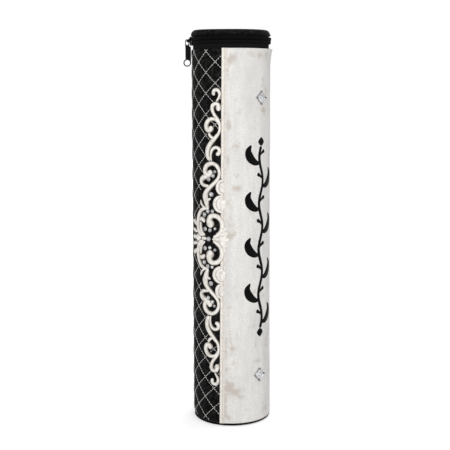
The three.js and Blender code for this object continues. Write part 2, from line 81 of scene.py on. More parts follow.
def turn_of(node, pick):
    """Angle from the front, in radians, of a node's first or last corner."""
    return pick(math.atan2(p.co.x, -p.co.y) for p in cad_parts[node].data.vertices)


def heights_of(node):
    """Lowest and highest place of a node."""
    low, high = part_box(node)
    return low.z, high.z


# Places read from the frame
QUILT_LOW, QUILT_HIGH = heights_of("quilted_cover")
QUILT_RADIUS = outer_of("quilted_cover")
COVER_INNER = inner_of("quilted_cover")
BOARD_RADIUS = outer_of("tube_board")
PANEL_LOW, PANEL_HIGH = heights_of("title_panel")
PANEL_RADIUS = outer_of("title_panel")
PANEL_TURN = turn_of("title_panel", max)
HEM_RADIUS = outer_of("panel_hem_left")
HEM_OUTER_TURN = turn_of("panel_hem_right", max)
ORNAMENT_LOW, ORNAMENT_HIGH = heights_of("scroll_left")
ORNAMENT_MIDDLE = (ORNAMENT_LOW + ORNAMENT_HIGH) / 2
VINE_LOW, VINE_HIGH = heights_of("vine_motif")
TAPE_LOW, TAPE_HIGH = heights_of("zipper_tape_body")
TAPE_TURN = turn_of("zipper_tape_body", max)
ROW_HIGH = heights_of("zipper_row_body")[1]
LID_ROW_LOW, LID_ROW_HIGH = heights_of("zipper_row_lid")
LID_LOW, LID_HIGH = heights_of("lid_cover")
LID_RADIUS = outer_of("lid_cover")
SPLIT_HEIGHT = (ROW_HIGH + LID_ROW_LOW) / 2
PARK_TURN = (turn_of("pull_tab", min) + turn_of("pull_tab", max)) / 2

# Wraps are set out by arc length at this radius
ARC_RADIUS = 38.4 * MM
PANEL_ARC = PANEL_TURN * ARC_RADIUS
HEM_ARC = HEM_OUTER_TURN * ARC_RADIUS
# The wrap drifts round the case from top to foot
WRAP_TWIST = 3.55 * MM
WRAP_TWIST_REST = 0.57 * MM

# Squares of the drawing paper on which both ornaments are drawn
PAPER_SQUARES = 291
PAPER = (ORNAMENT_HIGH - ORNAMENT_LOW) / PAPER_SQUARES


class CaseSizes(bpy.types.PropertyGroup):
    """Sizes that set the look of the case."""

    diamond_width: FloatProperty(
        name="Diamond width",
        description="Width of one quilted diamond, round the case",
        default=20.8 * MM,
        unit="LENGTH",
    )
    diamond_height: FloatProperty(
        name="Diamond height",
        description="Height of one quilted diamond",
        default=19.8 * MM,
        unit="LENGTH",
    )
    quilt_puff: FloatProperty(
        name="Quilt puff",
        description="How far the padding stands above the stitching",
        default=0.6 * MM,
        unit="LENGTH",
    )
    quilt_steps: IntProperty(
        name="Quilt steps",
        description="Faces along half a diamond",
        default=6,
    )
    stitch_width: FloatProperty(
        name="Stitch width",
        description="Thickness of the white quilting thread",
        default=0.56 * MM,
        unit="LENGTH",
    )
    stitches_per_side: IntProperty(
        name="Stitches per side",
        description="Quilting stitches along one side of a diamond",
        default=5,
    )
    relief: FloatProperty(
        name="Embroidery relief",
        description="How far the satin stitching stands above the cover",
        default=1.3 * MM,
        unit="LENGTH",
    )
    rhinestone_width: FloatProperty(
        name="Rhinestone width",
        description="Width of a round rhinestone at its girdle",
        default=3.9 * MM,
        unit="LENGTH",
    )
    tooth_pitch: FloatProperty(
        name="Tooth pitch",
        description="Distance between two loops of the zip's coil",
        default=1.35 * MM,
        unit="LENGTH",
    )


class CaseColours(bpy.types.PropertyGroup):
    """Colours of the case's finishes, in linear light."""

    leatherette: FloatVectorProperty(
        name="Leatherette",
        description="Black quilted leatherette",
        subtype="COLOR",
        default=(0.0036, 0.0035, 0.0034),
    )
    ivory: FloatVectorProperty(
        name="Ivory",
        description="Ground of the marbled front panel",
        subtype="COLOR",
        default=(0.69, 0.676, 0.655),
    )
    blotch: FloatVectorProperty(
        name="Blotch",
        description="Warm worn patches on the front panel",
        subtype="COLOR",
        default=(0.475, 0.425, 0.38),
    )
    cream: FloatVectorProperty(
        name="Cream thread",
        description="Satin stitching of the scroll ornament",
        subtype="COLOR",
        default=(0.89, 0.86, 0.81),
    )
    # Painted shade for the edges of the satin strokes
    tan: FloatVectorProperty(
        name="Painted satin shade",
        description="Shaded edge of the satin stitching",
        subtype="COLOR",
        default=(0.21, 0.17, 0.135),
    )
    thread: FloatVectorProperty(
        name="Quilting thread",
        description="White quilting stitches",
        subtype="COLOR",
        default=(0.76, 0.75, 0.73),
    )
    black_thread: FloatVectorProperty(
        name="Black thread",
        description="Satin stitching of the vine",
        subtype="COLOR",
        default=(0.0032, 0.0032, 0.0036),
    )


def sizes():
    return bpy.context.scene.case_sizes


def colours():
    return bpy.context.scene.case_colours


# Places on the case


def twist_at(height):
    """How far the wrap has drifted round the case at a height, as an arc length."""
    return WRAP_TWIST_REST - WRAP_TWIST * (1 - height / QUILT_HIGH)


def turn_at(arc, height):
    """Angle from the front of a place on the wrap, whose arc grows towards +X."""
    return (arc + twist_at(height)) / ARC_RADIUS


def at_turn(turn, radius, height):
    """Point at an angle from the front."""
    return radius * math.sin(turn), -radius * math.cos(turn), height


def on_case(arc, height, radius):
    """Point on the case."""
    return at_turn(turn_at(arc, height), radius, height)


def turn_of_point(point):
    return math.atan2(point.x, -point.y)


def place_on_case(point):
    """Arc and height of a point, the reverse of on_case."""
    return turn_of_point(point) * ARC_RADIUS - twist_at(point.z), point.z


def axes_at(turn, lean=0.0):
    """Along, up and outward axes at an angle from the front; lean turns the first two."""
    around = np.array(at_turn(turn + math.pi / 2, 1, 0))
    up = np.array((0.0, 0.0, 1.0))
    outward = np.array(at_turn(turn, 1, 0))
    along = around * math.cos(lean) + up * math.sin(lean)
    across = up * math.cos(lean) - around * math.sin(lean)
    return np.array((along, across, outward))


def eased(value):
    """Rises smoothly from 0 to 1, and is level on both sides."""
    share = min(1.0, max(0.0, value))
    return share * share * (3 - 2 * share)


def bell(distance, width):
    """1 in the middle, falling off over a width."""
    return math.exp(-((distance / width) ** 2))


# Mesh helpers


def activate(piece):
    """Selects one piece and nothing else."""
    for other in bpy.context.selected_objects:
        other.select_set(False)
    bpy.context.view_layer.objects.active = piece
    piece.select_set(True)


@contextmanager
def editing(piece, action="SELECT"):
    """Edit mode on a piece, with all of it selected or none."""
    activate(piece)
    bpy.ops.object.mode_set(mode="EDIT")
    bpy.ops.mesh.select_all(action=action)
    yield
    bpy.ops.object.mode_set(mode="OBJECT")


def take(name):
    """Names the piece that was just added."""
    piece = bpy.context.object
    piece.name = name
    piece.data.name = name
    return piece


def link_object(name, data):
    item = bpy.data.objects.new(name, data)
    bpy.context.scene.collection.objects.link(item)
    return item


def mesh_piece(name, points, faces, edges=()):
    """A new piece from points and faces."""
    mesh = bpy.data.meshes.new(name)
    mesh.from_pydata(points, edges, faces)
    return link_object(name, mesh)


def points_of(piece):
    return np.array([point.co for point in piece.data.vertices])


def move_points(piece, points):
    piece.data.vertices.foreach_set("co", np.array(points, np.float32).ravel())
    piece.data.update()


def place_local(piece, axes, origin):
    """Moves a piece's points into three axes at an origin."""
    move_points(piece, points_of(piece) @ np.array(axes) + np.array(origin))


def store(piece, name, domain, values):
    """Gives every point or face a value, for a material to read."""
    layer = piece.data.attributes.new(name, "FLOAT", domain)
    layer.data.foreach_set("value", np.array(values, np.float32))


def store_places(piece, name, value_at):
    """Gives every point a value from its arc and height."""
    store(piece, name, "POINT", [value_at(*place_on_case(point.co)) for point in piece.data.vertices])


def apply_modifier(piece, kind, **settings):
    activate(piece)
    modifier = piece.modifiers.new(kind.title(), kind)
    for key, value in settings.items():
        setattr(modifier, key, value)
    bpy.ops.object.modifier_apply(modifier=modifier.name)


def bevel(piece, width, **settings):
    apply_modifier(piece, "BEVEL", width=width, segments=2, **settings)


def smooth(piece, degrees=40):
    activate(piece)
    bpy.ops.object.shade_smooth_by_angle(angle=math.radians(degrees))


MERGE_DISTANCE = 0.001 * MM
ROUNDING_STEPS = 3


def face_outwards(piece):
    """Merges doubles and points every face outwards."""
    with editing(piece):
        bpy.ops.mesh.remove_doubles(threshold=MERGE_DISTANCE)
        bpy.ops.mesh.normals_make_consistent(inside=False)


def settle(piece):
    """Puts a piece's place into its mesh, with its object at the origin."""
    activate(piece)
    bpy.ops.object.transform_apply(location=True, rotation=True, scale=True)


def join_pieces(name, pieces):
    activate(pieces[0])
    for piece in pieces:
        piece.select_set(True)
    bpy.ops.object.join()
    return take(name)


def cube(name, width, depth, height):
    bpy.ops.mesh.primitive_cube_add(size=1)
    piece = take(name)
    piece.scale = (width, depth, height)
    settle(piece)
    return piece


def turned(name, profile, steps=128):
    """A ring or disc spun round the case's axis from (radius, height) points."""
    closed = profile[0][0] > 0 and profile[0] == profile[-1]
    points = [(radius, 0, height) for radius, height in (profile[:-1] if closed else profile)]
    count = len(points)
    edges = [(i, (i + 1) % count) for i in range(count if closed else count - 1)]
    piece = mesh_piece(name, points, [], edges)
    with editing(piece):
        bpy.ops.mesh.spin(steps=steps, angle=2 * math.pi, center=(0, 0, 0), axis=(0, 0, 1))
    face_outwards(piece)
    smooth(piece)
    return piece


def tube_faces(rings, sides):
    """Faces of a closed tube through rings of points."""
    faces = []
    for low in range(0, (rings - 1) * sides, sides):
        high = low + sides
        for i in range(sides):
            following = (i + 1) % sides
            faces.append((low + i, low + following, high + following, high + i))
    faces.append(tuple(range(sides)))
    faces.append(tuple((rings - 1) * sides + i for i in range(sides)))
    return faces


def arc_strip(name, profile, from_turn, to_turn, steps):
    """A strip that follows the case, from a closed section of (radius, height) points."""
    turns = [from_turn + (to_turn - from_turn) * step / steps for step in range(steps + 1)]
    points = [at_turn(turn, radius, height) for turn in turns for radius, height in profile]
    piece = mesh_piece(name, points, tube_faces(steps + 1, len(profile)))
    face_outwards(piece)
    smooth(piece)
    return piece


def rounded_box(inner, outer, low, high, corner):
    """A section with its two outer corners rounded, as (radius, height) points."""
    quarter = [math.pi / 2 * step / ROUNDING_STEPS for step in range(ROUNDING_STEPS + 1)]
    side = outer - corner
    foot = low + corner
    head = high - corner
    lower = [(side + corner * math.sin(turn), foot - corner * math.cos(turn)) for turn in quarter]
    upper = [(side + corner * math.cos(turn), head + corner * math.sin(turn)) for turn in quarter]
    return [(inner, low), *lower, *upper, (inner, high)]


def draped_grid(name, arcs, heights, radius_at):
    """A sheet wrapped on the case through a grid of arcs and heights."""
    bpy.ops.mesh.primitive_grid_add(
        x_subdivisions=len(arcs) - 1, y_subdivisions=len(heights) - 1, size=1
    )
    piece = take(name)
    places = [(arc, height) for height in heights for arc in arcs]
    move_points(piece, [on_case(*place, radius_at(*place)) for place in places])
    face_outwards(piece)
    return piece


def thicken(piece, wall, corner):
    """Gives a wrapped sheet its wall, inwards, with a rounded outer edge."""
    polygon = piece.data.polygons[len(piece.data.polygons) // 2]
    if polygon.center.x * polygon.normal.x + polygon.center.y * polygon.normal.y < 0:
        with editing(piece):
            bpy.ops.mesh.flip_normals()
    apply_modifier(piece, "SOLIDIFY", thickness=wall, offset=-1)
    bevel(piece, corner, limit_method="ANGLE", angle_limit=math.radians(60))
    smooth(piece, 50)


def copies(name, source, placings):
    """One mesh of many placed copies of a small source piece, which is then deleted."""
    local = points_of(source)
    faces = [tuple(polygon.vertices) for polygon in source.data.polygons]
    points = np.concatenate([local @ np.array(axes) + np.array(origin) for axes, origin in placings])
    shifts = range(0, len(points), len(local))
    new_faces = [tuple(shift + i for i in face) for shift in shifts for face in faces]
    piece = mesh_piece(name, points.tolist(), new_faces)
    bpy.data.objects.remove(source)
    return piece


def round_the_case(turns, radius, height):
    """Placings at some angles round the case."""
    return [(axes_at(turn), at_turn(turn, radius, height)) for turn in turns]


def even_turns(count, end):
    """Angles spread evenly from one side to the other."""
    return [-end + 2 * end * number / (count - 1) for number in range(count)]


def seam(name, halves, placings, finish, slot, body, segments=6):
    """Copies of one stitch, a ball stretched to three half widths, as one piece."""
    bpy.ops.mesh.primitive_uv_sphere_add(segments=segments, ring_count=segments // 2 + 2, radius=1)
    stitch = take("stitch")
    stitch.scale = halves
    settle(stitch)
    stitches = copies(name, stitch, placings)
    smooth(stitches, 80)
    dress(stitches, finish, slot, body)


# Shader trees


def toned(colour, factor, lift=0.0):
    """A colour times one factor, or times a factor for each channel, and lifted."""
    factors = factor if isinstance(factor, tuple) else (factor,) * 3
    return tuple(min(1.0, channel * share + lift) for channel, share in zip(colour, factors))


def spaced(inputs):
    """Keyword names as the names of sockets."""
    return {key.replace("_", " "): value for key, value in inputs.items()}


class Tree:
    """Adds nodes to a node tree."""

    def __init__(self, tree):
        self.tree = tree
        self.nodes = tree.nodes

    def feed(self, node, inputs):
        """Links or sets a node's inputs, by name or number; a colour is three numbers."""
        for key, value in inputs.items():
            socket = node.inputs[key]
            if isinstance(value, bpy.types.NodeSocket):
                self.tree.links.new(value, socket)
            elif socket.type == "RGBA":
                socket.default_value = (*value, 1)
            else:
                socket.default_value = value

    def add(self, kind, inputs, **settings):
        """A new node's outputs."""
        node = self.nodes.new("ShaderNode" + kind)
        for key, value in settings.items():
            setattr(node, key, value)
        self.feed(node, inputs)
        return node.outputs

    def math(self, operation, *values):
        return self.add("Math", dict(enumerate(values)), operation=operation)[0]

    def spread(self, value, low, high, to_low=0.0, to_high=1.0, interpolation="SMOOTHSTEP"):
        inputs = {"Value": value, "From Min": low, "From Max": high, "To Min": to_low, "To Max": to_high}
        return self.add("MapRange", inputs, interpolation_type=interpolation)["Result"]

    def ramp(self, value, *stops):
        """A colour ramp through stops of a position and a colour or a grey."""
        output = self.add("ValToRGB", {"Fac": value})["Color"]
        elements = output.node.color_ramp.elements
        for position, _ in stops[1:-1]:
            elements.new(position)
        for element, (position, tone) in zip(elements, stops):
            element.position = position
            element.color = (*tone, 1) if isinstance(tone, tuple) else (tone, tone, tone, 1)
        return output

    def mix(self, factor, first, second):
        return self.add("Mix", {0: factor, 6: first, 7: second}, data_type="RGBA")[2]

    def seen(self):
        """1 where the camera, gloss or glass looks at a surface."""
        rays = self.add("LightPath", {})
        straight = self.math("MAXIMUM", rays["Is Camera Ray"], rays["Is Glossy Ray"])
        return self.math("MAXIMUM", straight, rays["Is Transmission Ray"])


class Effect(Tree):
    """A node group: a shared effect, from a vector and numbers to numbers."""

    def __init__(self, name, numbers, outputs):
        super().__init__(bpy.data.node_groups.new(name, "ShaderNodeTree"))
        interface = self.tree.interface
        interface.new_socket("Vector", in_out="INPUT", socket_type="NodeSocketVector")
        for label in numbers:
            interface.new_socket(label, in_out="INPUT", socket_type="NodeSocketFloat")
        for label in outputs:
            interface.new_socket(label, in_out="OUTPUT", socket_type="NodeSocketFloat")
        self.given = self.nodes.new("NodeGroupInput").outputs
        self.result = self.nodes.new("NodeGroupOutput")

    def give(self, **values):
        self.feed(self.result, values)
        return self.tree

    def rate(self):
        """Radians of the thread's wave for each metre."""
        return self.math("DIVIDE", 2 * math.pi, self.given["Thread Pitch"])


class Finish(Tree):
    """A procedural material on object coordinates."""

    def __init__(self, name):
        self.material = bpy.data.materials.new(name)
        self.material.use_nodes = True
        super().__init__(self.material.node_tree)
        self.shader = self.nodes["Principled BSDF"]
        self.place = self.add("TexCoord", {})["Object"]

    def stretched(self, *scale):
        return self.add("Mapping", {"Vector": self.place, "Scale": scale})["Vector"]

    def noise(self, scale, detail=3.0, roughness=0.55, vector=None):
        place = vector or self.place
        inputs = {"Vector": place, "Scale": scale, "Detail": detail, "Roughness": roughness}
        return self.add("TexNoise", inputs)["Fac"]

    def attribute(self, name):
        return self.add("Attribute", {}, attribute_name=name)["Fac"]

    def effect(self, name, **inputs):
        """Outputs of a shared effect."""
        return self.add("Group", {"Vector": self.place, **spaced(inputs)}, node_tree=EFFECTS[name])

    def cloud(self, scale, low, high, vector=None):
        return self.effect("cloud", Vector=vector or self.place, Scale=scale, Low=low, High=high)["Mask"]

    def done(self, base, rough, specular, height, depth, **others):
        """Feeds the shader, with a bumped normal, and gives the material."""
        normal = self.add("Bump", {"Height": height, "Distance": depth})["Normal"]
        inputs = {"Base Color": base, "Roughness": rough, "Specular IOR Level": specular}
        self.feed(self.shader, {**inputs, **spaced(others), "Normal": normal})
        return self.material


THREAD_SLANT = 0.7 * MM


def pebble_effect():
    """Pebbled hide grain: small rounded cells with creases between them."""
    effect = Effect("Pebble Grain", ("Cell Size",), ("Height", "Crease"))
    vector = effect.given["Vector"]
    density = effect.math("DIVIDE", 1.0, effect.given["Cell Size"])
    wobble = effect.add("TexNoise", {"Vector": vector, "Scale": density, "Detail": 2.0})["Fac"]
    cells = effect.add("TexVoronoi", {"Vector": vector, "Scale": density}, feature="DISTANCE_TO_EDGE")
    rounded = effect.math("MINIMUM", cells["Distance"], 0.22)
    raised = effect.math("MULTIPLY", rounded, 4.0)
    fine = effect.math("MULTIPLY", wobble, 0.5)
    crease = effect.math("SUBTRACT", 1.0, effect.math("MULTIPLY", rounded, 4.5))
    return effect.give(Height=effect.math("ADD", raised, fine), Crease=crease)


def cloud_effect():
    """Soft patches of noise, between two levels."""
    effect = Effect("Soft Patches", ("Scale", "Low", "High"), ("Mask",))
    given = effect.given
    broad = {"Vector": given["Vector"], "Scale": given["Scale"], "Detail": 5.0, "Roughness": 0.62}
    noise = effect.add("TexNoise", broad)["Fac"]
    return effect.give(Mask=effect.spread(noise, given["Low"], given["High"], interpolation="LINEAR"))


def weave_effect():
    """Plain weave of a tape or lining, from two crossed waves."""
    effect = Effect("Fine Weave", ("Thread Pitch",), ("Height",))
    place = effect.add("SeparateXYZ", {"Vector": effect.given["Vector"]})
    rate = effect.rate()
    around = effect.math("ARCTAN2", place["X"], place["Y"])
    arc = effect.math("MULTIPLY", around, ARC_RADIUS)
    wefts = effect.math("SINE", effect.math("MULTIPLY", arc, rate))
    warps = effect.math("SINE", effect.math("MULTIPLY", place["Z"], rate))
    return effect.give(Height=effect.math("MULTIPLY", wefts, warps))


def satin_effect():
    """Satin stitching along a stroke: fine threads across it and a mask of its edges."""
    effect = Effect("Satin Stitch", ("Thread Pitch",), ("Thread", "Edge"))
    place = effect.add("SeparateXYZ", {"Vector": effect.given["Vector"]})
    jitter = effect.add("TexNoise", {"Vector": effect.given["Vector"], "Scale": 900.0})["Fac"]
    slant = effect.math("MULTIPLY", place["Y"], THREAD_SLANT)
    along = effect.math("ADD", place["X"], slant)
    wave = effect.math("SINE", effect.math("MULTIPLY", along, effect.rate()))
    thread = effect.math("ADD", wave, effect.math("MULTIPLY", jitter, 0.9))
    from_middle = effect.math("ABSOLUTE", effect.math("SUBTRACT", place["Y"], 0.5))
    return effect.give(Thread=thread, Edge=effect.spread(from_middle, 0.16, 0.5))


# Finishes

EFFECTS = {}
FINISHES = {}

COVER_PEBBLE = 1.5 * MM
LID_PEBBLE = 1.2 * MM
IVORY_PEBBLE = 1.2 * MM
HEM_PEBBLE = 1.1 * MM
TAPE_THREAD = 0.7 * MM
LINING_THREAD = 0.5 * MM
SATIN_THREAD = 0.42 * MM

COVER_GRAIN = 0.16 * MM
IVORY_GRAIN = 0.07 * MM
HEM_GRAIN = 0.06 * MM
SATIN_DEPTH = 0.06 * MM
THREAD_DEPTH = 0.05 * MM
WEAVE_DEPTH = 0.05 * MM
SCUFF_DEPTH = 0.012 * MM
COIL_DEPTH = 0.02 * MM
FLAW_DEPTH = 0.008 * MM
FIBRE_DEPTH = 0.08 * MM

DARK_THREAD = (0.005, 0.005, 0.0052)
TAPE = (0.0055, 0.0051, 0.0051)
LINING = (0.016, 0.016, 0.019)
NYLON = (0.0018, 0.0018, 0.002)
WORN_NYLON = (0.006, 0.006, 0.0064)
ENAMEL = (0.003, 0.003, 0.0032)
TARNISHED_SILVER = (0.13, 0.125, 0.12)
SOFT_SILVER = (0.42, 0.41, 0.405)
BOARD = (0.05, 0.046, 0.041)
PALE_BOARD = (0.09, 0.083, 0.074)
HEM_THREAD_SHARES = (0.45, 0.55)  # of the cream thread's tone and of the blotches'
# Tones of the hem from its outer to its inner edge: darker at the edge, a painted highlight on its
# rolled crown and painted shade along its seam and inner side; and painted reflections on a crystal's
# facets
HEM_PAINTED_SHADING_SHARES = [
    (0.0, (0.56, 0.53, 0.49)), (0.2, (0.78, 0.76, 0.72)), (0.48, (0.7, 0.655, 0.6)),
    (0.6, (0.52, 0.46, 0.405)), (0.7, (0.67, 0.64, 0.6)), (1.0, (0.6, 0.57, 0.53)),
]
FACET_REFLECTION_SHARES = [(0.0, (0.05, 0.05, 0.055)), (0.5, (0.3, 0.3, 0.31)), (1.0, (0.86, 0.87, 0.88))]


def leatherette_finish(name, cell, specular):
    """Black leatherette with a pebbled grain whose crowns are painted lighter in patches, a painted
    sheen.
    """
    finish = Finish(name)
    black = tuple(colours().leatherette)
    grain = finish.effect("pebble", Cell_Size=cell)
    crowns = finish.math("SUBTRACT", 1.0, grain["Crease"])
    # Painted sheen: lighter colour on the grain's crowns, in soft patches
    painted_crown_sheen = finish.math("MULTIPLY", crowns, finish.cloud(300.0, 0.46, 0.66))
    base = finish.mix(painted_crown_sheen, black, toned(black, 9))
    rough = finish.ramp(grain["Crease"], (0.0, 0.4), (1.0, 0.7))
    return finish.done(base, rough, specular, grain["Height"], COVER_GRAIN)


def ivory_finish():
    """Marbled ivory leatherette: warm worn patches, cool clouds, upright streaks and fine grain."""
    finish = Finish("ivory_leatherette")
    ground = tuple(colours().ivory)
    clouds = finish.cloud(38.0, 0.42, 0.62, finish.stretched(1, 1, 0.55))
    small = finish.cloud(150.0, 0.4, 0.66)
    fine = finish.noise(1100.0, 3.0, 0.7)
    streaks = finish.noise(170.0, vector=finish.stretched(1, 1, 0.14))
    tone = finish.mix(clouds, ground, toned(ground, (0.84, 0.86, 0.88)))
    tone = finish.mix(finish.ramp(streaks, (0.44, 0.0), (0.7, 0.7)), tone, toned(ground, 1.1))
    pits = finish.ramp(fine, (0.4, 0.0), (0.64, 0.85))
    tone = finish.mix(pits, tone, toned(ground, (0.76, 0.75, 0.74)))
    ragged = finish.math("MULTIPLY_ADD", small, 0.7, finish.attribute("worn"))
    speckled = finish.math("MULTIPLY_ADD", fine, 0.7, ragged)
    patches = finish.math("MULTIPLY", finish.spread(speckled, 0.88, 1.85), 0.95)
    base = finish.mix(patches, tone, colours().blotch)
    grain = finish.effect("pebble", Cell_Size=IVORY_PEBBLE)
    rough = finish.ramp(small, (0.0, 0.55), (1.0, 0.68))
    return finish.done(base, rough, 0.16, grain["Height"], IVORY_GRAIN)


def hem_finish():
    """Rolled hem: a painted highlight on the crown near its outer edge and painted warm shade along its
    seam and inner side.
    """
    finish = Finish("cream_hem")
    # Painted highlight and painted shade across the hem, from its outer to its inner edge
    tone = finish.ramp(finish.attribute("across_hem"), *HEM_PAINTED_SHADING_SHARES)
    mottle = finish.noise(420.0, 4.0, 0.65)
    base = finish.mix(finish.ramp(mottle, (0.42, 0.0), (0.72, 0.7)), tone, colours().blotch)
    rough = finish.ramp(mottle, (0.3, 0.5), (0.7, 0.66))
    grain = finish.effect("pebble", Cell_Size=HEM_PEBBLE)
    return finish.done(base, rough, 0.18, grain["Height"], HEM_GRAIN)


def satin_finish(name, middle, edge, sheen, specular):
    """Satin stitching: threads across the stroke, cream on its crown, with painted shade at its edges
    and in the furrows between threads.
    """
    finish = Finish(name)
    stroke = finish.add("UVMap", {}, uv_map="Stroke")["UV"]
    satin = finish.effect("satin", Vector=stroke, Thread_Pitch=SATIN_THREAD)
    # Painted shade on each stroke's edges, weaker where the ornament lies flat on the hem and panel
    shade = finish.math("MULTIPLY", satin["Edge"], finish.attribute("edge_shade"))
    soiled = finish.cloud(330.0, 0.47, 0.72)
    crown = finish.mix(soiled, middle, toned(middle, (0.66, 0.62, 0.59)))
    shaded = finish.mix(shade, crown, edge)
    # Painted shade in the furrows between the threads
    painted_furrow_shade = finish.ramp(satin["Thread"], (0.0, 0.3), (0.6, 0.0))
    base = finish.mix(painted_furrow_shade, shaded, toned(middle, 0.82))
    rough = finish.ramp(satin["Edge"], (0.0, 0.48), (1.0, 0.7))
    return finish.done(base, rough, specular, satin["Thread"], SATIN_DEPTH, Sheen_Weight=sheen)


def thread_finish(name, colour, specular=0.5):
    """Twisted sewing thread."""
    finish = Finish(name)
    fibre = finish.noise(2600.0, 2.0)
    base = finish.mix(fibre, toned(colour, 0.72), colour)
    rough = finish.ramp(fibre, (0.2, 0.55), (0.8, 0.8))
    return finish.done(base, rough, specular, fibre, THREAD_DEPTH)


def woven_finish(name, colour, pitch, specular):
    """Plain woven tape or lining cloth."""
    finish = Finish(name)
    weave = finish.effect("weave", Thread_Pitch=pitch)
    lint = finish.noise(500.0, 4.0)
    base = finish.mix(lint, colour, toned(colour, 1.5, 0.001))
    rough = finish.ramp(lint, (0.2, 0.75), (0.8, 0.92))
    return finish.done(base, rough, specular, weave["Height"], WEAVE_DEPTH)


def metal_finish(name, colour, roughness, metallic, specular):
    """Plated or enamelled small metal, rubbed a little brighter in patches."""
    finish = Finish(name)
    rubbed = finish.cloud(260.0, 0.5, 0.75)
    base = finish.mix(rubbed, colour, toned(colour, 1.6, 0.01))
    rough = finish.ramp(rubbed, (0.0, roughness), (1.0, roughness * 0.7))
    scuffs = finish.noise(1800.0, 2.0)
    return finish.done(base, rough, specular, scuffs, SCUFF_DEPTH, Metallic=metallic)


def nylon_finish():
    """Coil of smooth black nylon."""
    finish = Finish("black_nylon")
    wear = finish.noise(700.0)
    rough = finish.ramp(wear, (0.3, 0.34), (0.7, 0.5))
    return finish.done(finish.mix(wear, NYLON, WORN_NYLON), rough, 0.02, wear, COIL_DEPTH)


def crystal_finish():
    """Foil-backed cut glass: each facet has a painted reflection, a tone of its own from dark to bright.
    """
    finish = Finish("cut_crystal")
    # Painted reflections: a random tone on each facet
    base = finish.ramp(finish.attribute("painted_facet_reflection"), *FACET_REFLECTION_SHARES)
    return finish.done(base, 0.12, 0.5, finish.noise(900.0), FLAW_DEPTH, Metallic=0.55, Coat_Weight=0.35)


def board_finish():
    """Grey rolled board with its fibres."""
    finish = Finish("rolled_board")
    fibres = finish.noise(420.0, 5.0, vector=finish.stretched(1, 1, 3))
    rough = finish.ramp(fibres, (0.3, 0.82), (0.7, 0.95))
    return finish.done(finish.mix(fibres, BOARD, PALE_BOARD), rough, 0.5, fibres, FIBRE_DEPTH)


def make_finishes():
    tones = colours()
    black = tones.black_thread
    cream, blotch = HEM_THREAD_SHARES
    hem_thread = tuple(a * cream + b * blotch for a, b in zip(tones.cream, tones.blotch))
    EFFECTS.update(
        pebble=pebble_effect(), cloud=cloud_effect(), weave=weave_effect(), satin=satin_effect()
    )
    FINISHES.update(
        leatherette=leatherette_finish("black_leatherette", COVER_PEBBLE, 0.014),
        lid_leatherette=leatherette_finish("lid_leatherette", LID_PEBBLE, 0.012),
        ivory_leatherette=ivory_finish(),
        cream_hem=hem_finish(),
        cream_thread=satin_finish("cream_satin", tones.cream, tones.tan, 0.1, 0.3),
        black_thread=satin_finish("black_satin", black, black, 0.0, 0.03),
        quilting_thread=thread_finish("quilting_thread", tones.thread),
        hem_thread=thread_finish("hem_thread", hem_thread),
        dark_thread=thread_finish("dark_thread", DARK_THREAD, 0.05),
        zipper_tape=woven_finish("zipper_tape_weave", TAPE, TAPE_THREAD, 0.03),
        lining=woven_finish("lining_cloth", LINING, LINING_THREAD, 0.2),
        zipper_coil=nylon_finish(),
        black_metal=metal_finish("black_enamel", ENAMEL, 0.42, 0.0, 0.03),
        dark_silver=metal_finish("tarnished_silver", TARNISHED_SILVER, 0.4, 1.0, 0.5),
        soft_silver=metal_finish("soft_silver", SOFT_SILVER, 0.42, 1.0, 0.5),
        crystal=crystal_finish(),
        board=board_finish(),
    )


def dress(piece, finish, slot, body, *nodes):
    """Gives a piece its finish and its body, and hides the nodes that it replaces; slot is not used."""
    piece.data.materials.clear()
    piece.data.materials.append(FINISHES[finish])
    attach(piece, body)
    if nodes:
        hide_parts(*nodes)


# Quilted cover

HEM_GAP = 0.3 * MM
QUILT_AROUND = 2 * (math.pi * ARC_RADIUS - HEM_ARC - HEM_GAP)
CROSSING_FROM_HEM = 6.0 * MM  # first column of crossings, beyond the left hem
CROSSING_FROM_TOP = 32.4 * MM  # one crossing of that column, below the top edge
CROSSING_HEIGHT = QUILT_HIGH - CROSSING_FROM_TOP
QUILT_CROWN_RISE = 0.6 * MM
QUILT_CROWN = QUILT_RADIUS + QUILT_CROWN_RISE
QUILT_PUFF_POWER = 2.6
QUILT_TUCK = 0.7 * MM  # at every edge
QUILT_TUCK_REACH = 1.6 * MM
QUILT_FOOT_TUCK = 1.65 * MM  # at the foot
QUILT_FOOT_REACH = 9 * MM
QUILT_LEAST_WALL = 0.1 * MM
QUILT_LEAST_RADIUS = COVER_INNER + QUILT_LEAST_WALL
QUILT_CORNER = 0.4 * MM
QUILTING_MARGIN = 0.35 * MM
QUILTING_LIFT = 0.12 * MM
QUILTING_LENGTH_SHARE = 0.46
QUILTING_HEIGHT_SHARE = 0.36
# No quilting shows between the ornament's strokes: up from its middle, and out from the hem, in
# squares of its paper
ORNAMENT_CLEAR_SHARES = [(52, 22), (74, 16), (98, 9.5)]


def quilt_radius(away, height):
    """Radius of the padded cover: highest inside each diamond, drawn in at the stitching."""
    across = (away - CROSSING_FROM_HEM) / sizes().diamond_width
    up = (height - CROSSING_HEIGHT) / sizes().diamond_height
    rise = 1.0
    for share in (across + up, across - up):
        off_line = abs(share - round(share)) * 2
        rise *= 1 - (1 - min(1, off_line)) ** QUILT_PUFF_POWER
    edge = min(QUILT_HIGH - height, away, QUILT_AROUND - away)
    tuck = QUILT_TUCK * max(0.0, 1 - edge / QUILT_TUCK_REACH) ** 2
    foot = QUILT_FOOT_TUCK * max(0.0, 1 - (height - QUILT_LOW) / QUILT_FOOT_REACH) ** 2
    return max(QUILT_CROWN - sizes().quilt_puff * (1 - rise) - tuck - foot, QUILT_LEAST_RADIUS)


